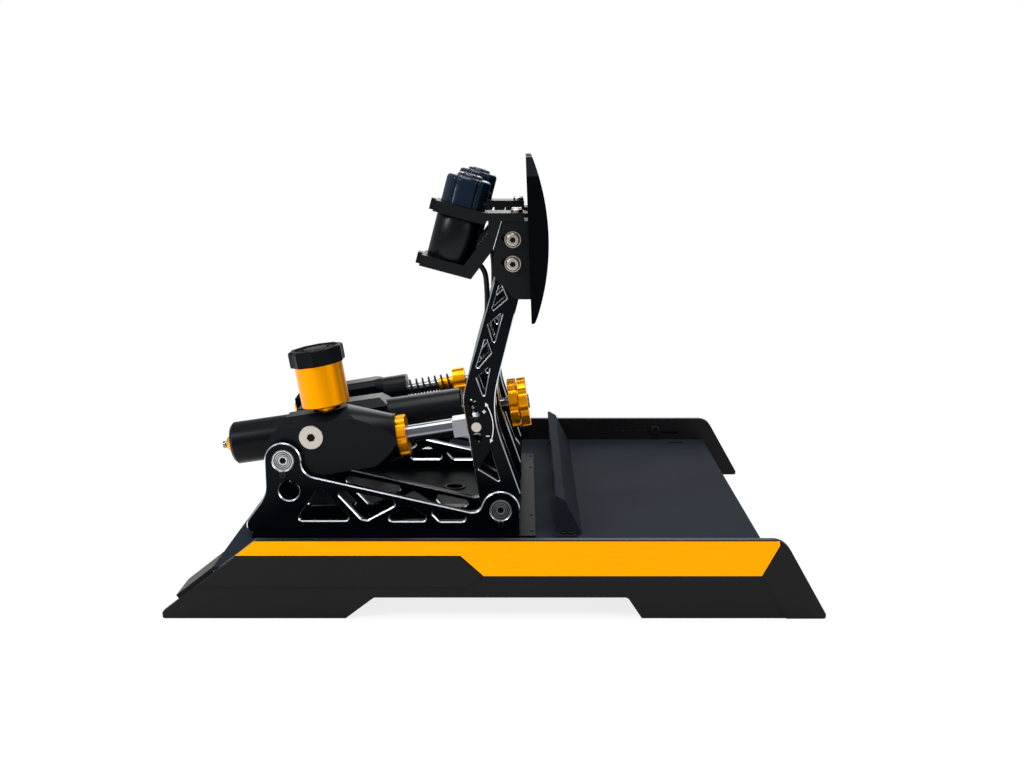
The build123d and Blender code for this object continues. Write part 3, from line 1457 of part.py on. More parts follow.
def build_cable(name):
    """The motor's cable, from its foot into the gap between the arm plates."""
    path = cable_path(cable_route)
    start = Vector(cable_route[0][0], 0, cable_route[0][1])
    heading = (Vector(cable_route[1][0], 0, cable_route[1][1]) - start).normalized()
    tube = sweep(Plane(origin=start, z_dir=heading) * Circle(cable_radius), path=path)
    print(f"cable volume share: {tube.volume / (pi * cable_radius ** 2 * path.length):.4f}")
    keep(f"{name}_motor_cable", Pos(0, pedal_places[name], 0) * tube)


def build_all():
    """Builds every node."""
    build_panels()
    build_decks()
    build_frame()
    build_base_screws()
    keep("small_screws", *build_heel_stop(), *build_trusses())
    build_shafts()
    for name in pedal_places:
        build_arm(name)
        build_head(name)
    build_link_pins()
    for name in ("clutch", "throttle"):
        build_motor(name)
        build_cable(name)
    build_clutch_actuator()
    build_brake_actuator()
    build_throttle_actuator()


def print_motion():
    """Prints what each pedal's travel does to its actuator, at the end of the travel."""
    for name, pin, offset, travel in (("clutch", clutch_pin, 0, clutch_travel),
                                      ("brake", brake_pin, brake_offset, brake_travel),
                                      ("throttle", throttle_pin, 0, throttle_travel)):
        tilt, reach = strut(pin, offset)
        turn = radians(travel)
        dx, dz = pin[0] - front_pivot_x, pin[1] - front_pivot_z
        moved = (front_pivot_x + dx * cos(turn) - dz * sin(turn), front_pivot_z + dx * sin(turn) + dz * cos(turn))
        end_tilt, end_reach = strut(moved, offset)
        print(f"{name}: tilt {tilt:.3f} to {end_tilt:.3f} degrees, reach {reach:.3f} to {end_reach:.3f} mm")


build_all()
print_motion()
os.makedirs("parts", exist_ok=True)
for node_name, solids in nodes.items():
    export_step(Compound(children=solids, label=node_name), f"parts/{node_name}.step")
print(len(nodes), "nodes")
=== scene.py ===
"""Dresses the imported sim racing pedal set: finishes, springs, cables, marks, light and camera."""

import json
import logging
import math
from dataclasses import dataclass
from enum import Enum
from typing import Any, Callable, Optional, Sequence

import bmesh
import bpy
from mathutils import Matrix, Vector

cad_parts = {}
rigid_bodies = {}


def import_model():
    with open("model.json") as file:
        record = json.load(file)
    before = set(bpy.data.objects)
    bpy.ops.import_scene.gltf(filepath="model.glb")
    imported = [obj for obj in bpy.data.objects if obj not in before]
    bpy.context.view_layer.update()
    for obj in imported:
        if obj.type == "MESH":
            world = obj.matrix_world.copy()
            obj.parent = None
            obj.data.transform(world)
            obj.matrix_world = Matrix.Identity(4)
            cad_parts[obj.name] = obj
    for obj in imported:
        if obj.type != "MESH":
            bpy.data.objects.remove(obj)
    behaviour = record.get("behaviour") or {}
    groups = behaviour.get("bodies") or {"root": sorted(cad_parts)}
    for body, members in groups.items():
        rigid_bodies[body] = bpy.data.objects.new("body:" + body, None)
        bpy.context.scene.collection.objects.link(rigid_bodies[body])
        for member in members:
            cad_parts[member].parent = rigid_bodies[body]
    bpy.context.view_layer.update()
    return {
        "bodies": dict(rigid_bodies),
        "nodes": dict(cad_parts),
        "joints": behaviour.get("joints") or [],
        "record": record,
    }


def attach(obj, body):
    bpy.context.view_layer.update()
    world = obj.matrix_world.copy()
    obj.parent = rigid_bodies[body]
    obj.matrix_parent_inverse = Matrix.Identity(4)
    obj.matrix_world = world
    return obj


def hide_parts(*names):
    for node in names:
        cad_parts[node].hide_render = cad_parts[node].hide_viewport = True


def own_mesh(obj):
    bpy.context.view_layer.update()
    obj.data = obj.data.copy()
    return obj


MM = 0.001
LOG = logging.getLogger("pedal_set")

Pair = tuple[float, float]
Point = tuple[float, float]
Place = tuple[float, float, float]
# A turned form's ring: its radius, its height and its share of the inset
Ring = tuple[float, float, float]
Loop = list[bmesh.types.BMVert]

# How many corners a disc's rim has
ROUND = 48
HEXAGON = 6


# Nodes and colours

def add_node(tree: bpy.types.NodeTree, kind: str, links: Optional[dict[Any, Any]] = None,
             values: Optional[dict[Any, Any]] = None, **settings: Any) -> bpy.types.Node:
    """Adds a shader node.

    Args:
        tree: The material's or world's node tree.
        kind: The node's type name.
        links: Input names or numbers, each with the output that feeds it.
        values: Input names or numbers, each with its constant.
        **settings: Properties of the node itself.

    Returns:
        The new node.
    """
    node = tree.nodes.new(kind)
    for name, value in settings.items():
        setattr(node, name, value)
    for key, value in (values or {}).items():
        node.inputs[key].default_value = value
    for key, output in (links or {}).items():
        tree.links.new(output, node.inputs[key])
    return node


def empty_tree(owner: Any) -> bpy.types.NodeTree:
    """Switches on the nodes of a material or world and empties its tree.

    Args:
        owner: The material or world.

    Returns:
        Its node tree.
    """
    owner.use_nodes = True
    owner.node_tree.nodes.clear()
    return owner.node_tree


def linear(hex_colour: str) -> tuple[float, float, float, float]:
    """Turns an sRGB hex colour to linear.

    Args:
        hex_colour: Six hex digits, with or without a hash.

    Returns:
        Linear red, green, blue and an alpha of 1.
    """
    digits = hex_colour.lstrip("#")
    parts = [int(digits[index:index + 2], 16) / 255 for index in (0, 2, 4)]
    turned = [part / 12.92 if part <= 0.04045 else ((part + 0.055) / 1.055) ** 2.4 for part in parts]
    return (turned[0], turned[1], turned[2], 1.0)


# Finishes

class Grain(Enum):
    """How a surface was made, which decides its fine pattern."""

    POWDER = "orange peel of a powder coat"
    BRUSHED = "long scratches along X"
    TURNED = "fine rings left by a lathe"
    BLASTED = "fine pits left by blasting"
    MOULDED = "soft mottling of a moulding"


@dataclass(frozen=True)
class Finish:
    """One surface finish.

    Attributes:
        name: The real material and how it was made.
        colour: Its sRGB colour.
        roughness: Its mean roughness.
        metallic: 1 for bare metal, less for dyed or oiled metal, 0 for coats, black skins and plastics.
        grain: How its surface was made.
        grain_mm: Real size of its pattern, in millimetres.
        relief_mm: Depth of its pattern, in millimetres.
        shade: The colour that the first one drifts towards, in soft patches or along the streaks.
        edge: The colour of bare cut edges, if the piece has them.
        lathe_axis: The axis that turned rings run round.
        sheen: How strongly a coat or dyed skin mirrors, where 0.5 is bare plastic.
        spread: How far the roughness strays from its mean.
    """

    name: str
    colour: str
    roughness: float
    metallic: float = 0.0
    grain: Grain = Grain.POWDER
    grain_mm: float = 0.8
    relief_mm: float = 0.01
    shade: str = ""
    edge: str = ""
    lathe_axis: Place = (1.0, 0.0, 0.0)
    sheen: float = 0.5
    spread: float = 0.08

    def pattern(self, tree: bpy.types.NodeTree) -> bpy.types.NodeSocket:
        """Builds the fine pattern.

        Args:
            tree: The material's node tree.

        Returns:
            The pattern's output, from 0 to 1.
        """
        place = add_node(tree, "ShaderNodeTexCoord").outputs["Object"]
        scale = 1 / (self.grain_mm * MM)
        detail = {Grain.TURNED: 3.0, Grain.BLASTED: 6.0}.get(self.grain, 2.0)
        if self.grain is Grain.TURNED:
            along = add_node(tree, "ShaderNodeVectorMath", {0: place}, {1: self.lathe_axis},
                             operation="DOT_PRODUCT")
            return add_node(tree, "ShaderNodeTexNoise", {"W": along.outputs["Value"]},
                            {"Scale": scale, "Detail": detail}, noise_dimensions="1D").outputs["Fac"]
        if self.grain is Grain.BRUSHED:
            streak = 0.02
            place = add_node(tree, "ShaderNodeMapping", {"Vector": place},
                             {"Scale": (streak, 1.0, 1.0)}).outputs["Vector"]
        return add_node(tree, "ShaderNodeTexNoise", {"Vector": place},
                        {"Scale": scale, "Detail": detail}).outputs["Fac"]

    def drift(self, tree: bpy.types.NodeTree) -> bpy.types.NodeSocket:
        """Builds the large soft patches of colour.

        Args:
            tree: The material's node tree.

        Returns:
            The patches' output, from 0 to 1.
        """
        patch_mm, detail = 45.0, 4.0
        place = add_node(tree, "ShaderNodeTexCoord").outputs["Object"]
        return add_node(tree, "ShaderNodeTexNoise", {"Vector": place},
                        {"Scale": 1 / (patch_mm * MM), "Detail": detail}).outputs["Fac"]

    def cut_edge(self, tree: bpy.types.NodeTree) -> bpy.types.NodeSocket:
        """Marks the slanted faces of an upright plate, which are its cut and polished chamfers.

        Args:
            tree: The material's node tree.

        Returns:
            The mark, 1 on chamfers and 0 elsewhere.
        """
        normal = add_node(tree, "ShaderNodeNewGeometry").outputs["True Normal"]
        split = add_node(tree, "ShaderNodeSeparateXYZ", {0: normal})
        lean = add_node(tree, "ShaderNodeMath", {0: split.outputs["Y"]}, operation="ABSOLUTE")
        slanted, band = math.sqrt(0.5), 0.2
        return add_node(tree, "ShaderNodeMath", {0: lean.outputs[0]}, {1: slanted, 2: band},
                        operation="COMPARE").outputs[0]

    def material(self) -> bpy.types.Material:
        """Builds the material, once.

        Returns:
            The material.
        """
        found = bpy.data.materials.get(self.name)
        if found:
            return found
        made = bpy.data.materials.new(self.name)
        tree = empty_tree(made)
        pattern, drift = self.pattern(tree), self.drift(tree)
        streaks = self.grain in (Grain.BRUSHED, Grain.TURNED)
        # An RGBA mix keeps its colour sockets at places 6 and 7
        colour = add_node(tree, "ShaderNodeMix", {"Factor": pattern if streaks else drift},
                          {6: linear(self.colour), 7: linear(self.shade or self.colour)}, data_type="RGBA")
        tint: bpy.types.NodeSocket = colour.outputs[2]
        smoothest, roughest = 0.03, 1.0
        gloss = add_node(tree, "ShaderNodeMapRange", {"Value": pattern},
                         {"To Min": max(self.roughness - self.spread, smoothest),
                          "To Max": min(self.roughness + self.spread, roughest)})
        rough: bpy.types.NodeSocket = gloss.outputs["Result"]
        shader = add_node(tree, "ShaderNodeBsdfPrincipled",
                          values={"Metallic": self.metallic, "Specular IOR Level": self.sheen})
        if self.edge:
            mark = self.cut_edge(tree)
            bare = add_node(tree, "ShaderNodeMix", {"Factor": mark, 6: tint}, {7: linear(self.edge)},
                            data_type="RGBA")
            tint = bare.outputs[2]
            tree.links.new(mark, shader.inputs["Metallic"])
            polished = 0.22
            smooth = add_node(tree, "ShaderNodeMix", {"Factor": mark, 2: rough}, {3: polished})
            rough = smooth.outputs[0]
        tree.links.new(tint, shader.inputs["Base Color"])
        tree.links.new(rough, shader.inputs["Roughness"])
        relief_strength = 0.6
        bump = add_node(tree, "ShaderNodeBump", {"Height": pattern},
                        {"Distance": self.relief_mm * MM, "Strength": relief_strength})
        tree.links.new(bump.outputs[0], shader.inputs["Normal"])
        add_node(tree, "ShaderNodeOutputMaterial", {"Surface": shader.outputs[0]})
        return made


def strut_axis(degrees: float) -> Place:
    """Gives the direction of an actuator tilted up by some degrees."""
    return (math.cos(math.radians(degrees)), 0.0, math.sin(math.radians(degrees)))


# Tilts at rest, in degrees: the clutch's and throttle's actuators, the brake's, and the motors
STRUT_TILT = 9.266
BRAKE_TILT = 8.363
MOTOR_TILT = 15.0

# Powder-coated steel sheet: matt, with a faint orange peel; the deck's coat is the flattest and coolest
PANEL_COAT = Finish("powder_coated_panel", "#0d0d0f", 0.45, grain_mm=0.9, relief_mm=0.012, shade="#111113",
                    sheen=0.12)
DECK_COAT = Finish("powder_coated_deck", "#191e25", 0.72, grain_mm=0.7, relief_mm=0.02, shade="#1d232b",
                   sheen=0.03)
FRAME_COAT = Finish("powder_coated_frame", "#0a0a0c", 0.5, grain_mm=1.0, relief_mm=0.02, shade="#0d0d0f",
                    sheen=0.2)
# Aluminium plate, dyed black, with its chamfers cut bare afterwards: bright lines round a near-black face
MILLED_BLACK = Finish("black_anodised_plate", "#020408", 0.26, grain=Grain.BLASTED, grain_mm=0.6,
                      relief_mm=0.002, shade="#04070d", edge="#ccd2d8", sheen=0.06)
# Aluminium, blasted and dyed black, with no bare edges: a soft sheen on blocks, nearly none on the faces and
# the pedals' base plate, and a greyer tone on the brackets; the base plate's darkest black is partly painted
# shade, standing in for the shadow between the trusses
BLASTED_BLACK = Finish("black_anodised_block", "#02040a", 0.3, grain=Grain.BLASTED, grain_mm=0.45,
                       relief_mm=0.005, shade="#04070e", sheen=0.11)
FACE_AND_SHADE_BLACK = Finish("black_anodised_face", "#020305", 0.42, grain=Grain.BLASTED, grain_mm=0.5,
                    relief_mm=0.008, shade="#040508", sheen=0.02)
BRACKET_BLACK = Finish("black_anodised_bracket", "#08090c", 0.42, grain=Grain.BLASTED, grain_mm=0.5,
                       relief_mm=0.006, shade="#0b0c10", sheen=0.14)
# Aluminium, brushed along its length and dyed orange gold: the scratches run as fine streaks
BRUSHED_GOLD = Finish("gold_brushed_strip", "#e58f00", 0.36, 0.7, Grain.BRUSHED, 0.5, 0.003, "#f6a300",
                      sheen=0.05)
# Aluminium, turned and dyed orange gold: faint rings, and a bright clear sheen
TURNED_GOLD = Finish("gold_turned_upright", "#dc8800", 0.3, 0.8, Grain.TURNED, 0.6, 0.0012, "#ea9800",
                     lathe_axis=strut_axis(STRUT_TILT + 90), sheen=0.05, spread=0.04)
MILLED_GOLD = Finish("gold_turned_along", "#eb9600", 0.28, 0.75, Grain.TURNED, 0.6, 0.001, "#f6a400",
                     lathe_axis=strut_axis(STRUT_TILT), sheen=0.2, spread=0.05)
# Bare steel: the ground rods mirror the room in long soft bands, bearings and screws are duller and warmer
GROUND_STEEL = Finish("ground_steel", "#84878c", 0.18, 1.0, Grain.TURNED, 0.5, 0.001, "#6e7177",
                      lathe_axis=strut_axis(STRUT_TILT), spread=0.05)
BEARING_STEEL = Finish("bearing_steel", "#9f9b96", 0.26, 1.0, Grain.BLASTED, 0.4, 0.003, "#85817c")
SCREW_STEEL = Finish("stainless_screw", "#c2bbb2", 0.3, 1.0, Grain.BLASTED, 0.4, 0.003, "#a59e96")
# Steel, blackened in oil: dark and slightly bright on its rims
SCREW_BLACK = Finish("blackened_screw", "#121214", 0.35, 0.5, Grain.BLASTED, 0.4, 0.004, "#1a1a1d", sheen=0.3)
# Painted shade: flat near-black discs and thin rings laid in sockets, in the bearings' gaps and round screw
# heads, where shade falls
SOCKET_SHADE = Finish("blackened_socket_floor", "#060606", 0.6, grain=Grain.BLASTED, grain_mm=0.4,
                      relief_mm=0.004, shade="#0a0a0a", sheen=0.1)
# Motor case: painted aluminium below with one long soft highlight, polished blue-black nylon cap above
MOTOR_COAT = Finish("motor_case_coat", "#020409", 0.3, grain=Grain.MOULDED, grain_mm=2.5, relief_mm=0.003,
                    shade="#03070d", sheen=0.16)
CAP_NYLON = Finish("polished_nylon_cap", "#04101d", 0.14, grain=Grain.MOULDED, grain_mm=3.0, relief_mm=0.004,
                   shade="#071a2c", sheen=0.2, spread=0.04)
# Moulded and drawn parts: dull black to dark grey, told apart by how softly they shine
CAP_PLASTIC = Finish("moulded_reservoir_cap", "#06080b", 0.42, grain=Grain.MOULDED, grain_mm=1.2,
                     relief_mm=0.008, shade="#0a0c10", sheen=0.06)
SPRING_BLACK = Finish("black_spring_steel", "#0c0d0f", 0.3, 0.4, Grain.MOULDED, 1.0, 0.004, "#141518",
                      sheen=0.3)
CABLE_JACKET = Finish("cable_jacket", "#090a0b", 0.5, grain=Grain.MOULDED, grain_mm=1.5, relief_mm=0.01,
                      shade="#0e0e10", sheen=0.25)
ELASTOMER = Finish("cast_elastomer", "#27272a", 0.6, grain=Grain.MOULDED, grain_mm=2.0, relief_mm=0.01,
                   shade="#303034")
# Screen-printed ink: flat and slightly grey white
WHITE_INK = Finish("printed_white_ink", "#e9eaec", 0.5, grain=Grain.MOULDED, grain_mm=0.6, relief_mm=0.002,
                   shade="#dcdde0")


# Meshes

def new_object(name: str, data: bpy.types.ID) -> bpy.types.Object:
    """Makes an object and links it into the scene.

    Args:
        name: Its name.
        data: Its mesh, curve, lamp or camera.

    Returns:
        The new object.
    """
    made = bpy.data.objects.new(name, data)
    bpy.context.scene.collection.objects.link(made)
    return made


def new_piece(name: str, mesh: bmesh.types.BMesh, finish: Finish, body: str,
              smooth: bool = True) -> bpy.types.Object:
    """Makes an object of a mesh, dresses it and lets it ride.

    Args:
        name: The piece's name.
        mesh: Its shape, in metres, in the frame's own axes.
        finish: Its finish.
        body: The body that it moves with.
        smooth: Whether its faces are shaded smooth.

    Returns:
        The new object.
    """
    data = bpy.data.meshes.new(name)
    bmesh.ops.recalc_face_normals(mesh, faces=mesh.faces)
    mesh.to_mesh(data)
    mesh.free()
    for face in data.polygons:
        face.use_smooth = smooth
    made = new_object(name, data)
    data.materials.append(finish.material())
    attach(made, body)
    LOG.info("made %s on %s: %d faces", name, body, len(data.polygons))
    return made


def turns_round(count: int) -> list[float]:
    """Gives the turns of points spread evenly round a circle, in radians."""
    return [2 * math.pi * index / count for index in range(count)]


def join_loops(mesh: bmesh.types.BMesh, *loops: Loop) -> None:
    """Spans a wall of faces from each closed loop of points to the next.

    Args:
        mesh: The mesh it is added to.
        *loops: The loops, each with as many points.
    """
    for first, second in zip(loops, loops[1:]):
        for index in range(len(first)):
            after = (index + 1) % len(first)
            mesh.faces.new((first[index], first[after], second[after], second[index]))


def sweep_tube(centres: Sequence[Vector], radius: float, sides: int) -> bmesh.types.BMesh:
    """Builds a round tube along points, closed at both ends.

    Args:
        centres: The points along its middle.
        radius: Its radius.
        sides: How many sides its section has.

    Returns:
        The tube.
    """
    mesh = bmesh.new()
    rings: list[Loop] = []
    across = Vector((0.0, 1.0, 0.0))
    for index, centre in enumerate(centres):
        ahead = (centres[min(index + 1, len(centres) - 1)] - centres[max(index - 1, 0)]).normalized()
        across = (across - ahead * across.dot(ahead)).normalized()
        upward = ahead.cross(across)
        rings.append([mesh.verts.new(centre + (across * math.cos(turn) + upward * math.sin(turn)) * radius)
                      for turn in turns_round(sides)])
    join_loops(mesh, *rings)
    mesh.faces.new(rings[0])
    mesh.faces.new(rings[-1])
    return mesh


def lay_plate(mesh: bmesh.types.BMesh, corners: Sequence[Point], near_y: float, depth: float) -> None:
    """Adds a thin upright plate.

    Args:
        mesh: The mesh it is added to.
        corners: Its outline as (X, Z), in metres.
        near_y: Y of its near face, in metres.
        depth: Its thickness, in metres.
    """
    near = [mesh.verts.new((x, near_y, z)) for x, z in corners]
    far = [mesh.verts.new((x, near_y + depth, z)) for x, z in corners]
    mesh.faces.new(near)
    mesh.faces.new(far[::-1])
    join_loops(mesh, near, far)


def stack_rings(frame: Matrix, rings: Sequence[Ring], inset: Callable[[float], float],
                around: int) -> bmesh.types.BMesh:
    """Builds a closed turned form whose rim may be notched or faceted.

    Args:
        frame: Places the form, whose axis is its Z, in millimetres.
        rings: For each ring its radius, its height and its share of the inset.
        inset: How far the rim lies inside its circle at a turn, in millimetres.
        around: How many points a ring has.

    Returns:
        The form, in metres.
    """
    least_radius = 0.05
    mesh = bmesh.new()
    grid: list[Loop] = []
    for radius, height, share in rings:
        ring = []
        for turn in turns_round(around):
            reach = max(radius - share * inset(turn), least_radius)
            place = frame @ Vector((reach * math.cos(turn), reach * math.sin(turn), height))
            ring.append(mesh.verts.new(place * MM))
        grid.append(ring)
    join_loops(mesh, *grid)
    mesh.faces.new(grid[0][::-1])
    mesh.faces.new(grid[-1])
    return mesh


def add_disc(mesh: bmesh.types.BMesh, place: Place, side: int, corners: int, reach: float, thickness: float,
             hole: float = 0.0) -> None:
    """Adds a thin disc or ring, round or hexagonal, that faces along Y.

    Args:
        mesh: The mesh it is added to.
        place: The middle of its back, in millimetres.
        side: Where it faces: -1 for the driver's left, 1 for the right.
        corners: How many corners its rim has.
        reach: Its corners' distance from the middle.
        thickness: Its thickness.
        hole: Radius of its hole, or 0.
    """
    frame = Matrix.Translation(place) @ Matrix.Rotation(-side * math.pi / 2, 4, "X")

    def ring(radius: float, height: float) -> Loop:
        """Adds the points of one rim."""
        spots = [Vector((radius * math.cos(turn), radius * math.sin(turn), height))
                 for turn in turns_round(corners)]
        return [mesh.verts.new((frame @ spot) * MM) for spot in spots]

    low, high = ring(reach, 0.0), ring(reach, thickness)
    if hole:
        inner_low, inner_high = ring(hole, 0.0), ring(hole, thickness)
        join_loops(mesh, low, high, inner_high, inner_low, low)
    else:
        mesh.faces.new(low[::-1])
        mesh.faces.new(high)
        join_loops(mesh, low, high)


def dress(frame: dict[str, Any], finish: Finish, *nodes: str) -> None:
    """Gives CAD nodes a finish.

    Args:
        frame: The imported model.
        finish: The finish.
        *nodes: The nodes' names.
    """
    for name in nodes:
        node = frame["nodes"][name]
        if not node.material_slots:
            node.data.materials.append(finish.material())
        for place in node.material_slots:
            place.material = finish.material()
        LOG.info("dressed %s as %s", name, finish.name)


# Sub-assemblies

class Pedal(Enum):
    """The three pedals, each with its middle's Y in millimetres."""

    CLUTCH = -98.0
    BRAKE = 0.0
    THROTTLE = 98.0

    @property
    def word(self) -> str:
        """The name that the pedal's nodes start with."""
        return self.name.lower()


@dataclass
class Base:
    """Side panels, decks, heel stop and truss plates.

    Attributes:
        cable_hole: Middle of the cable hole, in millimetres.
        hole_radius: Its radius.
        lip: Radius of the grommet's rubber lip.
        grommet_gap: How far the grommet stands off the deck.
        stud_radius: Radius of the small studs inside the panels.
        stud_flatness: Their height, as a share of their radius.
        stud_x: The studs' first and last X.
        stud_count: How many studs there are.
        stud_z: The studs' height.
        panel_inner: Y of the panels' inner faces.
        pivots: The pivots as (X, Z).
        truss_outer: Y of the outer trusses' outer faces.
        bearing_inset: How deep the bearings' faces lie.
        seal_rings: Outer and inner radius of each thin ring of painted shade in the bearings' gaps.
        seal_proud: How far they stand proud.
        shaft_inset: How deep the shafts' ends lie.
        shaft_socket_shade: How deep the sockets' floors of painted shade lie.
        shaft_socket_reach: Their corners' reach.
    """

    cable_hole: Place = (-40.0, 8.0, 40.0)
    hole_radius: float = 8.5
    lip: float = 1.3
    grommet_gap: float = 0.05
    stud_radius: float = 0.9
    stud_flatness: float = 0.4
    stud_x: Pair = (95.0, 155.0)
    stud_count: int = 9
    stud_z: float = 47.0
    panel_inner: float = 198.0
    pivots: tuple[Point, ...] = ((-167.0, 98.3), (3.5, 58.0))
    truss_outer: float = 123.0
    bearing_inset: float = 0.4
    seal_rings: tuple[Pair, ...] = ((7.2, 6.4), (5.6, 5.0), (4.3, 3.7))
    seal_proud: float = 0.08
    shaft_inset: float = 0.5
    shaft_socket_shade: float = 1.2
    shaft_socket_reach: float = 2.8

    def build(self, frame: dict[str, Any]) -> None:
        """Builds and dresses the base.

        Args:
            frame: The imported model.
        """
        dress(frame, PANEL_COAT, "side_panel_left", "side_panel_right", "badge_plates", "nose_tabs")
        dress(frame, BRUSHED_GOLD, "accent_strips")
        dress(frame, DECK_COAT, "deck_plate", "heel_stop")
        # Painted shade: the base plate between the trusses takes the darkest black, for the shadow that falls
        # there
        dress(frame, FACE_AND_SHADE_BLACK, "pedal_base_plate")
        dress(frame, FRAME_COAT, "deck_frame")
        dress(frame, SCREW_BLACK, "truss_screws", "panel_screws", "small_screws", "shaft_spacers")
        dress(frame, MILLED_BLACK, "truss_plate_1", "truss_plate_2", "truss_plate_3", "truss_plate_4")
        dress(frame, BEARING_STEEL, "pivot_bearings", "pivot_shafts")
        self.build_grommet()
        self.build_studs()
        self.build_bearing_faces()

    def build_grommet(self) -> None:
        """Builds the rubber grommet in the cable hole."""
        across = 12
        x, y, z = self.cable_hole
        mesh = bmesh.new()
        rings: list[Loop] = []
        for turn in turns_round(ROUND):
            ring = []
            for lean in turns_round(across):
                reach = self.hole_radius + self.lip * math.cos(lean)
                rise = max(self.lip * math.sin(lean), 0.0) + self.grommet_gap
                spot = (x + reach * math.cos(turn), y + reach * math.sin(turn), z + rise)
                ring.append(mesh.verts.new([value * MM for value in spot]))
            rings.append(ring)
        join_loops(mesh, *rings, rings[0])
        new_piece("cable_grommet", mesh, CABLE_JACKET, "base")

    def build_studs(self) -> None:
        """Builds the row of small rivet heads inside each panel."""
        first, last = self.stud_x
        for word, side in (("left", -1), ("right", 1)):
            mesh = bmesh.new()
            for index in range(self.stud_count):
                x = first + (last - first) * index / (self.stud_count - 1)
                face_y = side * self.panel_inner
                head = bmesh.ops.create_uvsphere(mesh, u_segments=12, v_segments=8,
                                                 radius=self.stud_radius * MM)
                flatten = Matrix.Diagonal((1.0, self.stud_flatness, 1.0, 1.0))
                place = Matrix.Translation((x * MM, face_y * MM, self.stud_z * MM)) @ flatten
                bmesh.ops.transform(mesh, matrix=place, verts=head["verts"])
            new_piece(f"panel_rivets_{word}", mesh, SCREW_BLACK, "base")

    def build_bearing_faces(self) -> None:
        """Builds the painted shade in the bearings' gaps and in the shafts' sockets, on both outer trusses.
        """
        gap_shade, sockets = bmesh.new(), bmesh.new()
        for x, z in self.pivots:
            for side in (-1, 1):
                face = side * (self.truss_outer - self.bearing_inset)
                # Thin rings of painted shade in the gaps between the bearing's races and its shield
                for reach, hole in self.seal_rings:
                    add_disc(gap_shade, (x, face, z), side, ROUND, reach, self.seal_proud, hole)
                # A hexagon of painted shade on the floor of the shaft's socket
                floor = side * (self.truss_outer - self.shaft_inset - self.shaft_socket_shade)
                add_disc(sockets, (x, floor, z), side, HEXAGON, self.shaft_socket_reach, self.seal_proud)
        new_piece("bearing_seals", gap_shade, SOCKET_SHADE, "base", False)
        new_piece("shaft_socket_floors", sockets, SOCKET_SHADE, "base", False)


@dataclass(frozen=True)
class PrintedScale:
    """The printed arc with arrows and the plus and minus signs beside a row of pin holes.

    Attributes:
        arc: Three points of the arc as (X, Z), in millimetres.
        line: The printed line's width.
        arrow: The arrowheads' length.
        sign: The signs' width.
        plus: The plus sign's middle.
        minus: The minus sign's middle.
        ink: The ink's thickness.
    """

    arc: tuple[Point, Point, Point] = ((-7.1, 140.4), (-2.4, 125.1), (-3.7, 113.0))
    line: float = 0.7
    arrow: float = 2.8
    sign: float = 3.0
    plus: Point = (-9.4, 135.6)
    minus: Point = (-6.6, 115.9)
    ink: float = 0.06

    def circle(self) -> tuple[Vector, float]:
        """Finds the arc's circle from its three points.

        Returns:
            Its centre as (X, Z) and its radius, in millimetres.
        """
        (ax, az), (bx, bz), (cx, cz) = self.arc
        twice = 2 * (ax * (bz - cz) + bx * (cz - az) + cx * (az - bz))
        square_a, square_b, square_c = ax ** 2 + az ** 2, bx ** 2 + bz ** 2, cx ** 2 + cz ** 2
        x = (square_a * (bz - cz) + square_b * (cz - az) + square_c * (az - bz)) / twice
        z = (square_a * (cx - bx) + square_b * (ax - cx) + square_c * (bx - ax)) / twice
        return Vector((x, z)), math.hypot(ax - x, az - z)

    def build(self, pedal: Pedal, face_y: float) -> None:
        """Prints the scale on one arm plate.

        Args:
            pedal: The pedal.
            face_y: Y of the plate's near face, in millimetres.
        """
        mesh = bmesh.new()
        middle, radius = self.circle()
        (ax, az), _, (cx, cz) = self.arc
        start = math.atan2(az - middle.y, ax - middle.x)
        end = math.atan2(cz - middle.y, cx - middle.x)
        steps = 20
        near = (face_y - self.ink) * MM
        depth = self.ink * MM

        def at(turn: float, reach: float) -> Point:
            """Gives the place at a turn and a distance round the arc's centre, in metres."""
            return ((middle.x + reach * math.cos(turn)) * MM, (middle.y + reach * math.sin(turn)) * MM)

        half = self.line / 2
        inner, outer = [], []
        for step in range(steps + 1):
            turn = start + (end - start) * step / steps
            inner.append(at(turn, radius - half))
            outer.append(at(turn, radius + half))
        for step in range(steps):
            lay_plate(mesh, [inner[step], outer[step], outer[step + 1], inner[step + 1]], near, depth)
        way = math.copysign(self.arrow / radius, end - start)
        for turn, lead in ((start, -way), (end, way)):
            lay_plate(mesh, [at(turn, radius - self.arrow / 2), at(turn, radius + self.arrow / 2),
                             at(turn + lead, radius)], near, depth)
        arm = self.sign / 2
        for (x, z), upright in ((self.plus, True), (self.minus, False)):
            lay_plate(mesh, [((x + sx * arm) * MM, (z + sz * half) * MM)
                             for sx, sz in ((-1, -1), (1, -1), (1, 1), (-1, 1))], near, depth)
            if upright:
                for side in (-1, 1):
                    bar = [((x + sx * half) * MM, (z + side * half + side * sz * (arm - half)) * MM)
                           for sx, sz in ((-1, 0), (1, 0), (1, 1), (-1, 1))]
                    lay_plate(mesh, bar, near, depth)
        new_piece(f"{pedal.word}_printed_scale", mesh, WHITE_INK, f"{pedal.word}_pedal", False)


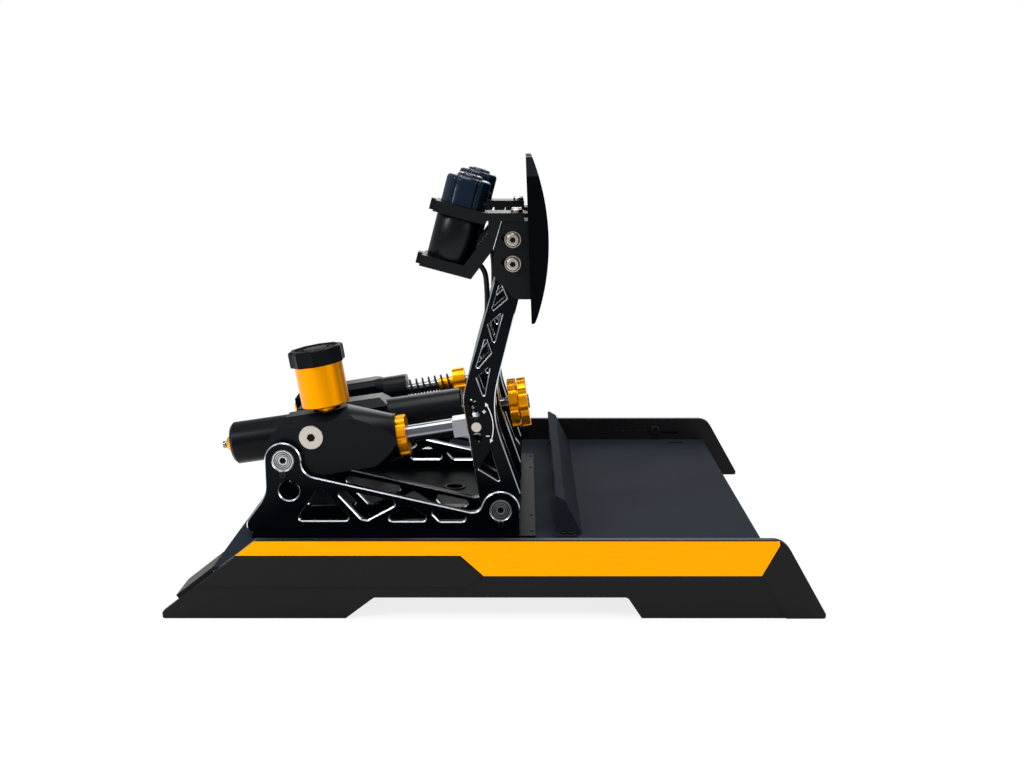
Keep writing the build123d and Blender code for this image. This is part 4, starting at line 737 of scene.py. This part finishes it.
@dataclass
class PedalArm:
    """One pedal's arm and head.

    Attributes:
        pedal: The pedal.
        arm_half: Half the arm's width, in millimetres.
        scale: The printed scale on its near plate.
        screws: The bracket's screws as (X, Z).
        head_face: Distance of the screw heads' faces from the pedal's middle.
        washer_face: Distance of the washers' faces from it.
        socket_shade: How deep the sockets' floors of painted shade lie.
        socket_reach: Their corners' reach.
        ring: Outer and inner radius of the painted shade line round a head, where it meets its washer.
        ring_proud: How far it stands proud.
    """

    pedal: Pedal
    arm_half: float = 15.0
    scale: PrintedScale = PrintedScale()
    screws: tuple[Point, ...] = ((13.4, 270.45), (13.4, 252.0))
    head_face: float = 23.4
    washer_face: float = 20.2
    socket_shade: float = 0.9
    socket_reach: float = 2.3
    ring: Pair = (5.5, 5.05)
    ring_proud: float = 0.06

    def build(self, frame: dict[str, Any]) -> None:
        """Builds and dresses the arm.

        Args:
            frame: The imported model.
        """
        word = self.pedal.word
        pin = "brake_link_pins" if self.pedal is Pedal.BRAKE else f"{word}_link_pin"
        dress(frame, MILLED_BLACK, f"{word}_arm_plates")
        dress(frame, BLASTED_BLACK, f"{word}_arm_spacers")
        dress(frame, BRACKET_BLACK, f"{word}_bracket")
        dress(frame, FACE_AND_SHADE_BLACK, f"{word}_face_plate")
        dress(frame, SCREW_STEEL, f"{word}_head_screws", pin)
        self.scale.build(self.pedal, self.pedal.value - self.arm_half)
        self.build_sockets()

    def build_sockets(self) -> None:
        """Builds the painted shade in the bracket screws' sockets and in the rings round their heads."""
        word = self.pedal.word
        mesh = bmesh.new()
        for x, z in self.screws:
            floor = self.pedal.value - self.head_face + self.socket_shade
            add_disc(mesh, (x, floor, z), -1, HEXAGON, self.socket_reach, self.ring_proud)
            washer = self.pedal.value - self.washer_face
            # A thin ring of painted shade in the crease where the head meets its washer
            add_disc(mesh, (x, washer, z), -1, ROUND, self.ring[0], self.ring_proud, self.ring[1])
        new_piece(f"{word}_screw_sockets", mesh, SOCKET_SHADE, f"{word}_pedal", False)


@dataclass
class HapticMotor:
    """A head motor with its holder and cable.

    Attributes:
        pedal: The pedal that carries it.
        foot: Where the motor's axis meets its foot line, as (X, Z) in millimetres.
        case: The case's rings, each as (radius, height, share of the cap's inset).
        case_points: How many points round each.
        cap: The cap's rings.
        cap_points: How many points round each.
        lobes: How many flat lobes the cap has.
        cap_radius: Radius of its rim at the notches' edges.
        flatness: How flat the lobes are, from 0 for round to 1.
        notch_depth: How deep the notches between them are.
        notch_width: How wide they are, in radians.
        route: The cable's route as (X, Z), in millimetres, as the part's source has it.
        cable_radius: The cable's radius.
        cable_length: The length of its run from the motor's foot into the arm; not used.
    """

    pedal: Pedal
    foot: Point = (-36.0, 254.7)
    case: tuple[Ring, ...] = ((15.5, -9.5, 0.0), (17.0, -9.4, 0.0), (17.75, -8.7, 0.0), (17.75, 41.0, 0.0),
                              (17.2, 41.6, 0.0))
    case_points: int = 96
    cap: tuple[Ring, ...] = ((17.4, 41.8, 0.0), (18.2, 42.4, 0.6), (18.35, 43.4, 1.0), (18.35, 60.4, 1.0),
                             (18.1, 61.9, 1.0), (17.2, 63.2, 1.0), (15.8, 64.1, 1.2), (13.6, 64.3, 1.4),
                             (12.4, 63.9, 1.4), (12.0, 62.7, 1.0), (11.2, 62.4, 0.6), (10.9, 64.4, 0.8),
                             (10.2, 65.9, 1.0), (8.8, 66.6, 1.0), (6.6, 66.5, 0.6), (5.8, 65.6, 0.2),
                             (3.0, 65.4, 0.0))
    cap_points: int = 192
    lobes: int = 6
    cap_radius: float = 18.35
    flatness: float = 0.5
    notch_depth: float = 2.2
    notch_width: float = 0.1
    route: tuple[Point, ...] = ((-18.24, 252.01), (-9.06, 249.55), (-6.5, 229.0), (-7.489, 195.995),
                                (-1.606, 166.491))
    cable_radius: float = 2.1
    cable_length: float = 92.2

    def build(self, frame: dict[str, Any]) -> None:
        """Builds and dresses the motor.

        Args:
            frame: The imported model.
        """
        word = self.pedal.word
        dress(frame, BRACKET_BLACK, f"{word}_motor_holder")
        stand = Matrix.Translation((self.foot[0], self.pedal.value, self.foot[1]))
        stand @= Matrix.Rotation(math.radians(MOTOR_TILT), 4, "Y")
        for part, rings, points, finish in (("case", self.case, self.case_points, MOTOR_COAT),
                                            ("cap", self.cap, self.cap_points, CAP_NYLON)):
            piece = new_piece(f"{word}_motor_{part}", stack_rings(stand, rings, self.inset, points), finish,
                              f"{word}_pedal")
            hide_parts(f"{word}_motor")
        self.build_cable()

    def inset(self, turn: float) -> float:
        """Gives how far the cap's rim lies inside a circle: its flats and the notches between them.

        Args:
            turn: The turn round the motor's axis, in radians.

        Returns:
            How far, in millimetres.
        """
        half = math.pi / self.lobes
        away = abs((turn + half) % (2 * half) - half)
        flat = self.cap_radius * (1 - math.cos(half) / math.cos(half - away))
        return self.flatness * flat + self.notch_depth * math.exp(-(away / self.notch_width) ** 2)

    def build_cable(self) -> None:
        """Builds the cable as one smooth curve along its route."""
        word = self.pedal.word
        curve = bpy.data.curves.new(f"{word}_cable", "CURVE")
        curve.dimensions = "3D"
        spline = curve.splines.new("NURBS")
        spline.points.add(len(self.route) - 1)
        for point, (x, z) in zip(spline.points, self.route):
            point.co = (x * MM, self.pedal.value * MM, z * MM, 1.0)
        spline.order_u = 3
        spline.use_endpoint_u = True
        spline.resolution_u = 16
        curve.bevel_depth = self.cable_radius * MM
        curve.bevel_resolution = 6
        curve.use_fill_caps = True
        curve.materials.append(CABLE_JACKET.material())
        cable = new_object(f"{word}_cable", curve)
        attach(cable, f"{word}_pedal")
        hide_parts(f"{word}_motor_cable")
        LOG.info("made %s_cable", word)


@dataclass(frozen=True)
class Strut:
    """The line of an actuator from the rear pivot.

    Attributes:
        pedal: The pedal.
        tilt: Its tilt, in degrees.
        pivot: The rear pivot as (X, Z), in millimetres.
    """

    pedal: Pedal
    tilt: float
    pivot: Point = (-167.0, 98.3)

    def at(self, along: float, side: float = 0.0, up: float = 0.0) -> Vector:
        """Gives a place in the frame's axes.

        Args:
            along: Distance along the strut, in millimetres.
            side: Distance to the driver's right.
            up: Distance up from the strut.

        Returns:
            The place, in metres.
        """
        turn = math.radians(self.tilt)
        x = self.pivot[0] + along * math.cos(turn) - up * math.sin(turn)
        z = self.pivot[1] + along * math.sin(turn) + up * math.cos(turn)
        return Vector((x * MM, (self.pedal.value + side) * MM, z * MM))


@dataclass
class ClutchActuator:
    """The hydraulic cylinder with its reservoir.

    Attributes:
        strut: The actuator's line.
        cap_along: The reservoir's place along the strut, in millimetres.
        cap_rings: The cap's rings, each as (radius, height over the strut, share of the facets).
        cap_points: How many points round each.
        cap_sides: How many hollow facets its rim has.
        cap_radius: Its ridges' radius.
        cap_hollow: How far each facet is hollowed.
        cap_ribs: How many small ribs stand round its top.
        rib: Inner and outer end of a rib, its width and the height of its top.
        rib_depth: How far down a rib reaches.
        plug: The port plug's place along and over the strut.
        plug_face: Distance of its face from the pedal's middle.
        plug_socket: Reach of its socket's corners and the depth of the painted shade on its floor.
        plug_shade: Thickness of that painted shade.
    """

    strut: Strut = Strut(Pedal.CLUTCH, STRUT_TILT)
    cap_along: float = 37.6
    cap_rings: tuple[Ring, ...] = ((20.6, 68.0, 0.6), (21.6, 68.3, 1.0), (22.0, 69.0, 1.0), (22.0, 79.2, 1.0),
                                   (21.7, 80.3, 1.0), (20.8, 80.9, 0.9), (19.0, 81.0, 0.5), (17.2, 80.9, 0.0),
                                   (16.8, 79.6, 0.0), (9.6, 79.4, 0.0), (9.2, 80.5, 0.0), (4.0, 80.6, 0.0))
    cap_points: int = 240
    cap_sides: int = 10
    cap_radius: float = 22.0
    cap_hollow: float = 0.55
    cap_ribs: int = 20
    rib: tuple[float, float, float, float] = (10.6, 16.2, 1.1, 80.3)
    rib_depth: float = 1.0
    plug: Point = (24.2, 13.5)
    plug_face: float = 18.9
    plug_socket: Pair = (3.4, 0.5)
    plug_shade: float = 0.06

    def build(self, frame: dict[str, Any]) -> None:
        """Builds and dresses the clutch's actuator.

        Args:
            frame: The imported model.
        """
        dress(frame, BLASTED_BLACK, "clutch_cylinder")
        dress(frame, MILLED_GOLD, "clutch_gland_nut")
        dress(frame, TURNED_GOLD, "clutch_reservoir")
        dress(frame, GROUND_STEEL, "clutch_rod")
        dress(frame, SCREW_STEEL, "clutch_port_plug")
        dress(frame, SPRING_BLACK, "clutch_return_spring")
        self.build_cap()
        self.build_plug_socket()

    def facet(self, turn: float) -> float:
        """Gives how far the rim lies inside its ridges.

        Args:
            turn: The turn round the cap's axis, in radians.

        Returns:
            How far, in millimetres.
        """
        half = math.pi / self.cap_sides
        away = abs((turn + half) % (2 * half) - half)
        flat = self.cap_radius * math.cos(half) / math.cos(away)
        return self.cap_radius - flat + self.cap_hollow * (1 - (away / half) ** 2)

    def build_cap(self) -> None:
        """Builds the reservoir's ribbed cap."""
        middle = self.strut.at(self.cap_along) / MM
        stand = Matrix.Translation(middle) @ Matrix.Rotation(-math.radians(self.strut.tilt), 4, "Y")
        mesh = stack_rings(stand, self.cap_rings, self.facet, self.cap_points)
        inner, outer, width, top = self.rib
        low = top - self.rib_depth
        for turn in turns_round(self.cap_ribs):
            spin = Matrix.Rotation(turn, 4, "Z")
            block = bmesh.ops.create_cube(mesh, size=1.0)
            shape = Matrix.Diagonal((outer - inner, width, top - low, 1.0))
            place = Matrix.Translation(((inner + outer) / 2, 0.0, (top + low) / 2))
            scale = Matrix.Scale(MM, 4)
            bmesh.ops.transform(mesh, matrix=scale @ stand @ spin @ place @ shape, verts=block["verts"])
        cap = new_piece("clutch_grip_cap", mesh, CAP_PLASTIC, "clutch_reservoir_lid", False)
        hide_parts("clutch_reservoir_cap")

    def build_plug_socket(self) -> None:
        """Builds the painted shade on the floor of the port plug's socket."""
        reach, depth = self.plug_socket
        along, up = self.plug
        place = self.strut.at(along, up=up) / MM
        place.y = self.strut.pedal.value - self.plug_face + depth
        mesh = bmesh.new()
        add_disc(mesh, tuple(place), -1, HEXAGON, reach, self.plug_shade)
        new_piece("clutch_plug_socket", mesh, SOCKET_SHADE, "clutch_hydraulic", False)


@dataclass
class BrakeActuator:
    """The tube of elastomers with its preload knob.

    Attributes:
        strut: The actuator's line.
        offset: How far the tube's axis passes below the rear pivot, in millimetres.
        tip_rings: The tail nut's steel tip, each ring as (radius, distance along the tube, 0).
        tip_points: How many points round each.
    """

    strut: Strut = Strut(Pedal.BRAKE, BRAKE_TILT)
    offset: float = 6.0
    tip_rings: tuple[Ring, ...] = ((2.2, -77.85, 0.0), (2.7, -77.8, 0.0), (3.05, -77.4, 0.0),
                                   (3.05, -73.6, 0.0), (2.9, -73.52, 0.0))
    tip_points: int = 32

    def build(self, frame: dict[str, Any]) -> None:
        """Builds and dresses the brake's actuator.

        Args:
            frame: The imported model.
        """
        middle = self.strut.at(0.0, up=-self.offset) / MM
        lying = Matrix.Rotation(math.pi / 2 - math.radians(self.strut.tilt), 4, "Y")
        stand = Matrix.Translation(middle) @ lying
        tip = stack_rings(stand, self.tip_rings, lambda turn: 0.0, self.tip_points)
        new_piece("brake_tail_tip", tip, GROUND_STEEL, "brake_tube")
        dress(frame, BLASTED_BLACK, "brake_body")
        dress(frame, MILLED_GOLD, "brake_rear_nut", "brake_knob")
        dress(frame, GROUND_STEEL, "brake_rod")
        dress(frame, ELASTOMER, "brake_elastomers")


@dataclass
class ThrottleActuator:
    """The guided rod with its coil spring.

    Attributes:
        strut: The actuator's line.
        start: The spring's first end along the strut, in millimetres.
        end: Its other end.
        radius: Its radius at the wire's middle.
        wire: The wire's thickness.
        turns: How many turns it has.
        stroke: How far the rod moves in at full throttle; not used.
    """

    strut: Strut = Strut(Pedal.THROTTLE, STRUT_TILT)
    start: float = 80.15
    end: float = 123.85
    radius: float = 8.4
    wire: float = 2.0
    turns: int = 7
    stroke: float = 18.117

    def build(self, frame: dict[str, Any]) -> None:
        """Builds and dresses the throttle's actuator.

        Args:
            frame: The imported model.
        """
        dress(frame, BLASTED_BLACK, "throttle_body")
        dress(frame, MILLED_GOLD, "throttle_rear_nut", "throttle_adjuster")
        dress(frame, GROUND_STEEL, "throttle_rod")
        self.build_spring()

    def build_spring(self) -> None:
        """Builds the coil spring."""
        per_turn, sides = 36, 10
        steps = per_turn * self.turns
        climb = self.end - self.start - self.wire
        centres = []
        for step in range(steps + 1):
            turn = 2 * math.pi * self.turns * step / steps
            centres.append(self.strut.at(self.start + self.wire / 2 + climb * step / steps,
                                         self.radius * math.cos(turn), self.radius * math.sin(turn)))
        mesh = sweep_tube(centres, self.wire / 2 * MM, sides)
        spring = new_piece("throttle_coil", mesh, SPRING_BLACK, "throttle_guide")
        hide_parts("throttle_spring")
        tuple(self.strut.at(self.start))
        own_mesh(spring)


@dataclass(frozen=True)
class Lamp:
    """One square softbox.

    Attributes:
        name: Its name.
        place: Where it hangs, in metres.
        target: What it points at.
        size: Its side, in metres.
        power: Its power, in watts.
    """

    name: str
    place: Place
    target: Place
    size: float
    power: float

    def hang(self) -> None:
        """Hangs the softbox."""
        data = bpy.data.lights.new(self.name, "AREA")
        data.shape = "SQUARE"
        data.size = self.size
        data.energy = self.power
        lamp = new_object(self.name, data)
        lamp.location = self.place
        aim = Vector(self.target) - Vector(self.place)
        lamp.rotation_euler = aim.to_track_quat("-Z", "Y").to_euler()


# The lamp overhead whitens the cut edges, the small strong one at the left gives blocks and motors their
# highlights, and two weak ones fill the shadows
LAMPS = (
    Lamp("overhead", (-0.1, 0.0, 1.7), (0.0, 0.0, 0.1), 0.9, 20.0),
    Lamp("left_front", (-1.2, -0.9, 1.2), (0.0, 0.0, 0.12), 0.5, 22.0),
    Lamp("right_front", (1.4, -1.0, 0.8), (0.0, 0.0, 0.12), 0.9, 9.0),
    Lamp("behind", (0.1, 1.6, 0.9), (0.0, 0.0, 0.15), 1.2, 10.0),
)


@dataclass
class Studio:
    """Floor, lights, world and camera.

    Attributes:
        camera_place: Where the camera stands, in millimetres.
        pitch: How far it looks down, in degrees.
        focal_px: Its focal length in pixels of the photograph.
        frame_px: The photograph's width in pixels.
        centre_px: The column that the camera looks straight at.
        sensor_mm: Its sensor's width, in millimetres.
        floor_size: The floor's side, in metres.
        paper: The floor's colour.
        shadow_reach: How far out the floor starts and ends turning pure white for the camera, in metres.
        white_share: The white share of its colour inside that.
        soft_light: Strength of the world as a light.
        mirrored_light: Its strength where a surface mirrors it.
    """

    camera_place: Place = (22.7, -1071.0, 345.7)
    pitch: float = 11.1
    focal_px: float = 1250.0
    frame_px: float = 1024.0
    centre_px: float = 525.0
    sensor_mm: float = 36.0
    floor_size: float = 8.0
    paper: str = "#f4f4f4"
    shadow_reach: Pair = (0.42, 0.75)
    white_share: float = 0.82
    soft_light: float = 0.45
    mirrored_light: float = 0.4

    def build(self) -> None:
        """Builds the whole studio."""
        self.build_camera()
        self.build_floor()
        self.build_world()
        for lamp in LAMPS:
            lamp.hang()
        bpy.context.scene.view_settings.view_transform = "Standard"

    def build_camera(self) -> None:
        """Stands the camera where the photograph was taken."""
        lens = bpy.data.cameras.new("photo_camera")
        lens.sensor_width = self.sensor_mm
        lens.lens = self.focal_px / self.frame_px * lens.sensor_width
        lens.shift_x = -(self.centre_px - self.frame_px / 2) / self.frame_px
        lens.clip_start = 0.01
        camera = new_object("photo_camera", lens)
        camera.location = Vector(self.camera_place) * MM
        camera.rotation_euler = (math.radians(90 - self.pitch), 0.0, 0.0)
        bpy.context.scene.camera = camera

    def build_floor(self) -> None:
        """Lays the pale floor, which the camera sees as white but for soft shadows."""
        mesh = bpy.data.meshes.new("floor")
        half = self.floor_size / 2
        mesh.from_pydata([(-half, -half, 0), (half, -half, 0), (half, half, 0), (-half, half, 0)], [],
                         [(0, 1, 2, 3)])
        floor = new_object("floor", mesh)
        made = bpy.data.materials.new("studio_floor_paper")
        tree = empty_tree(made)
        pale = add_node(tree, "ShaderNodeBsdfDiffuse", values={"Color": linear(self.paper)})
        white = add_node(tree, "ShaderNodeEmission", values={"Color": linear("#ffffff")})
        path = add_node(tree, "ShaderNodeLightPath").outputs
        place = add_node(tree, "ShaderNodeNewGeometry").outputs["Position"]
        away = add_node(tree, "ShaderNodeVectorMath", {0: place}, operation="LENGTH").outputs["Value"]
        near, far = self.shadow_reach
        share = add_node(tree, "ShaderNodeMapRange", {"Value": away},
                         {"From Min": near, "From Max": far, "To Min": self.white_share, "To Max": 1.0})
        seen = add_node(tree, "ShaderNodeMath", {0: path["Is Camera Ray"], 1: share.outputs[0]},
                        operation="MULTIPLY")
        mix = add_node(tree, "ShaderNodeMixShader",
                       {0: seen.outputs[0], 1: pale.outputs[0], 2: white.outputs[0]})
        add_node(tree, "ShaderNodeOutputMaterial", {"Surface": mix.outputs[0]})
        mesh.materials.append(made)

    def build_world(self) -> None:
        """Fills the world with soft light, pure white to the camera and dimmer in mirrors."""
        world = bpy.data.worlds.new("studio")
        bpy.context.scene.world = world
        tree = empty_tree(world)
        path = add_node(tree, "ShaderNodeLightPath").outputs
        mirrored = add_node(tree, "ShaderNodeMath", {0: path["Is Glossy Ray"]}, {1: self.mirrored_light},
                            operation="MULTIPLY")
        seen = add_node(tree, "ShaderNodeMath", {0: path["Is Camera Ray"], 1: mirrored.outputs[0]},
                        operation="MAXIMUM")
        strength = add_node(tree, "ShaderNodeMath", {0: seen.outputs[0]}, {1: self.soft_light},
                            operation="MAXIMUM")
        back = add_node(tree, "ShaderNodeBackground", {"Strength": strength.outputs[0]},
                        {"Color": linear("#ffffff")})
        add_node(tree, "ShaderNodeOutputWorld", {"Surface": back.outputs[0]})


def main() -> None:
    """Builds the dressed pedal set and its studio."""
    logging.basicConfig(level=logging.INFO, format="%(name)s: %(message)s")
    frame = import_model()
    Base().build(frame)
    for pedal in Pedal:
        PedalArm(pedal).build(frame)
    for pedal in (Pedal.CLUTCH, Pedal.THROTTLE):
        HapticMotor(pedal).build(frame)
    ClutchActuator().build(frame)
    BrakeActuator().build(frame)
    ThrottleActuator().build(frame)
    Studio().build()


if __name__ == "__main__":
    main()
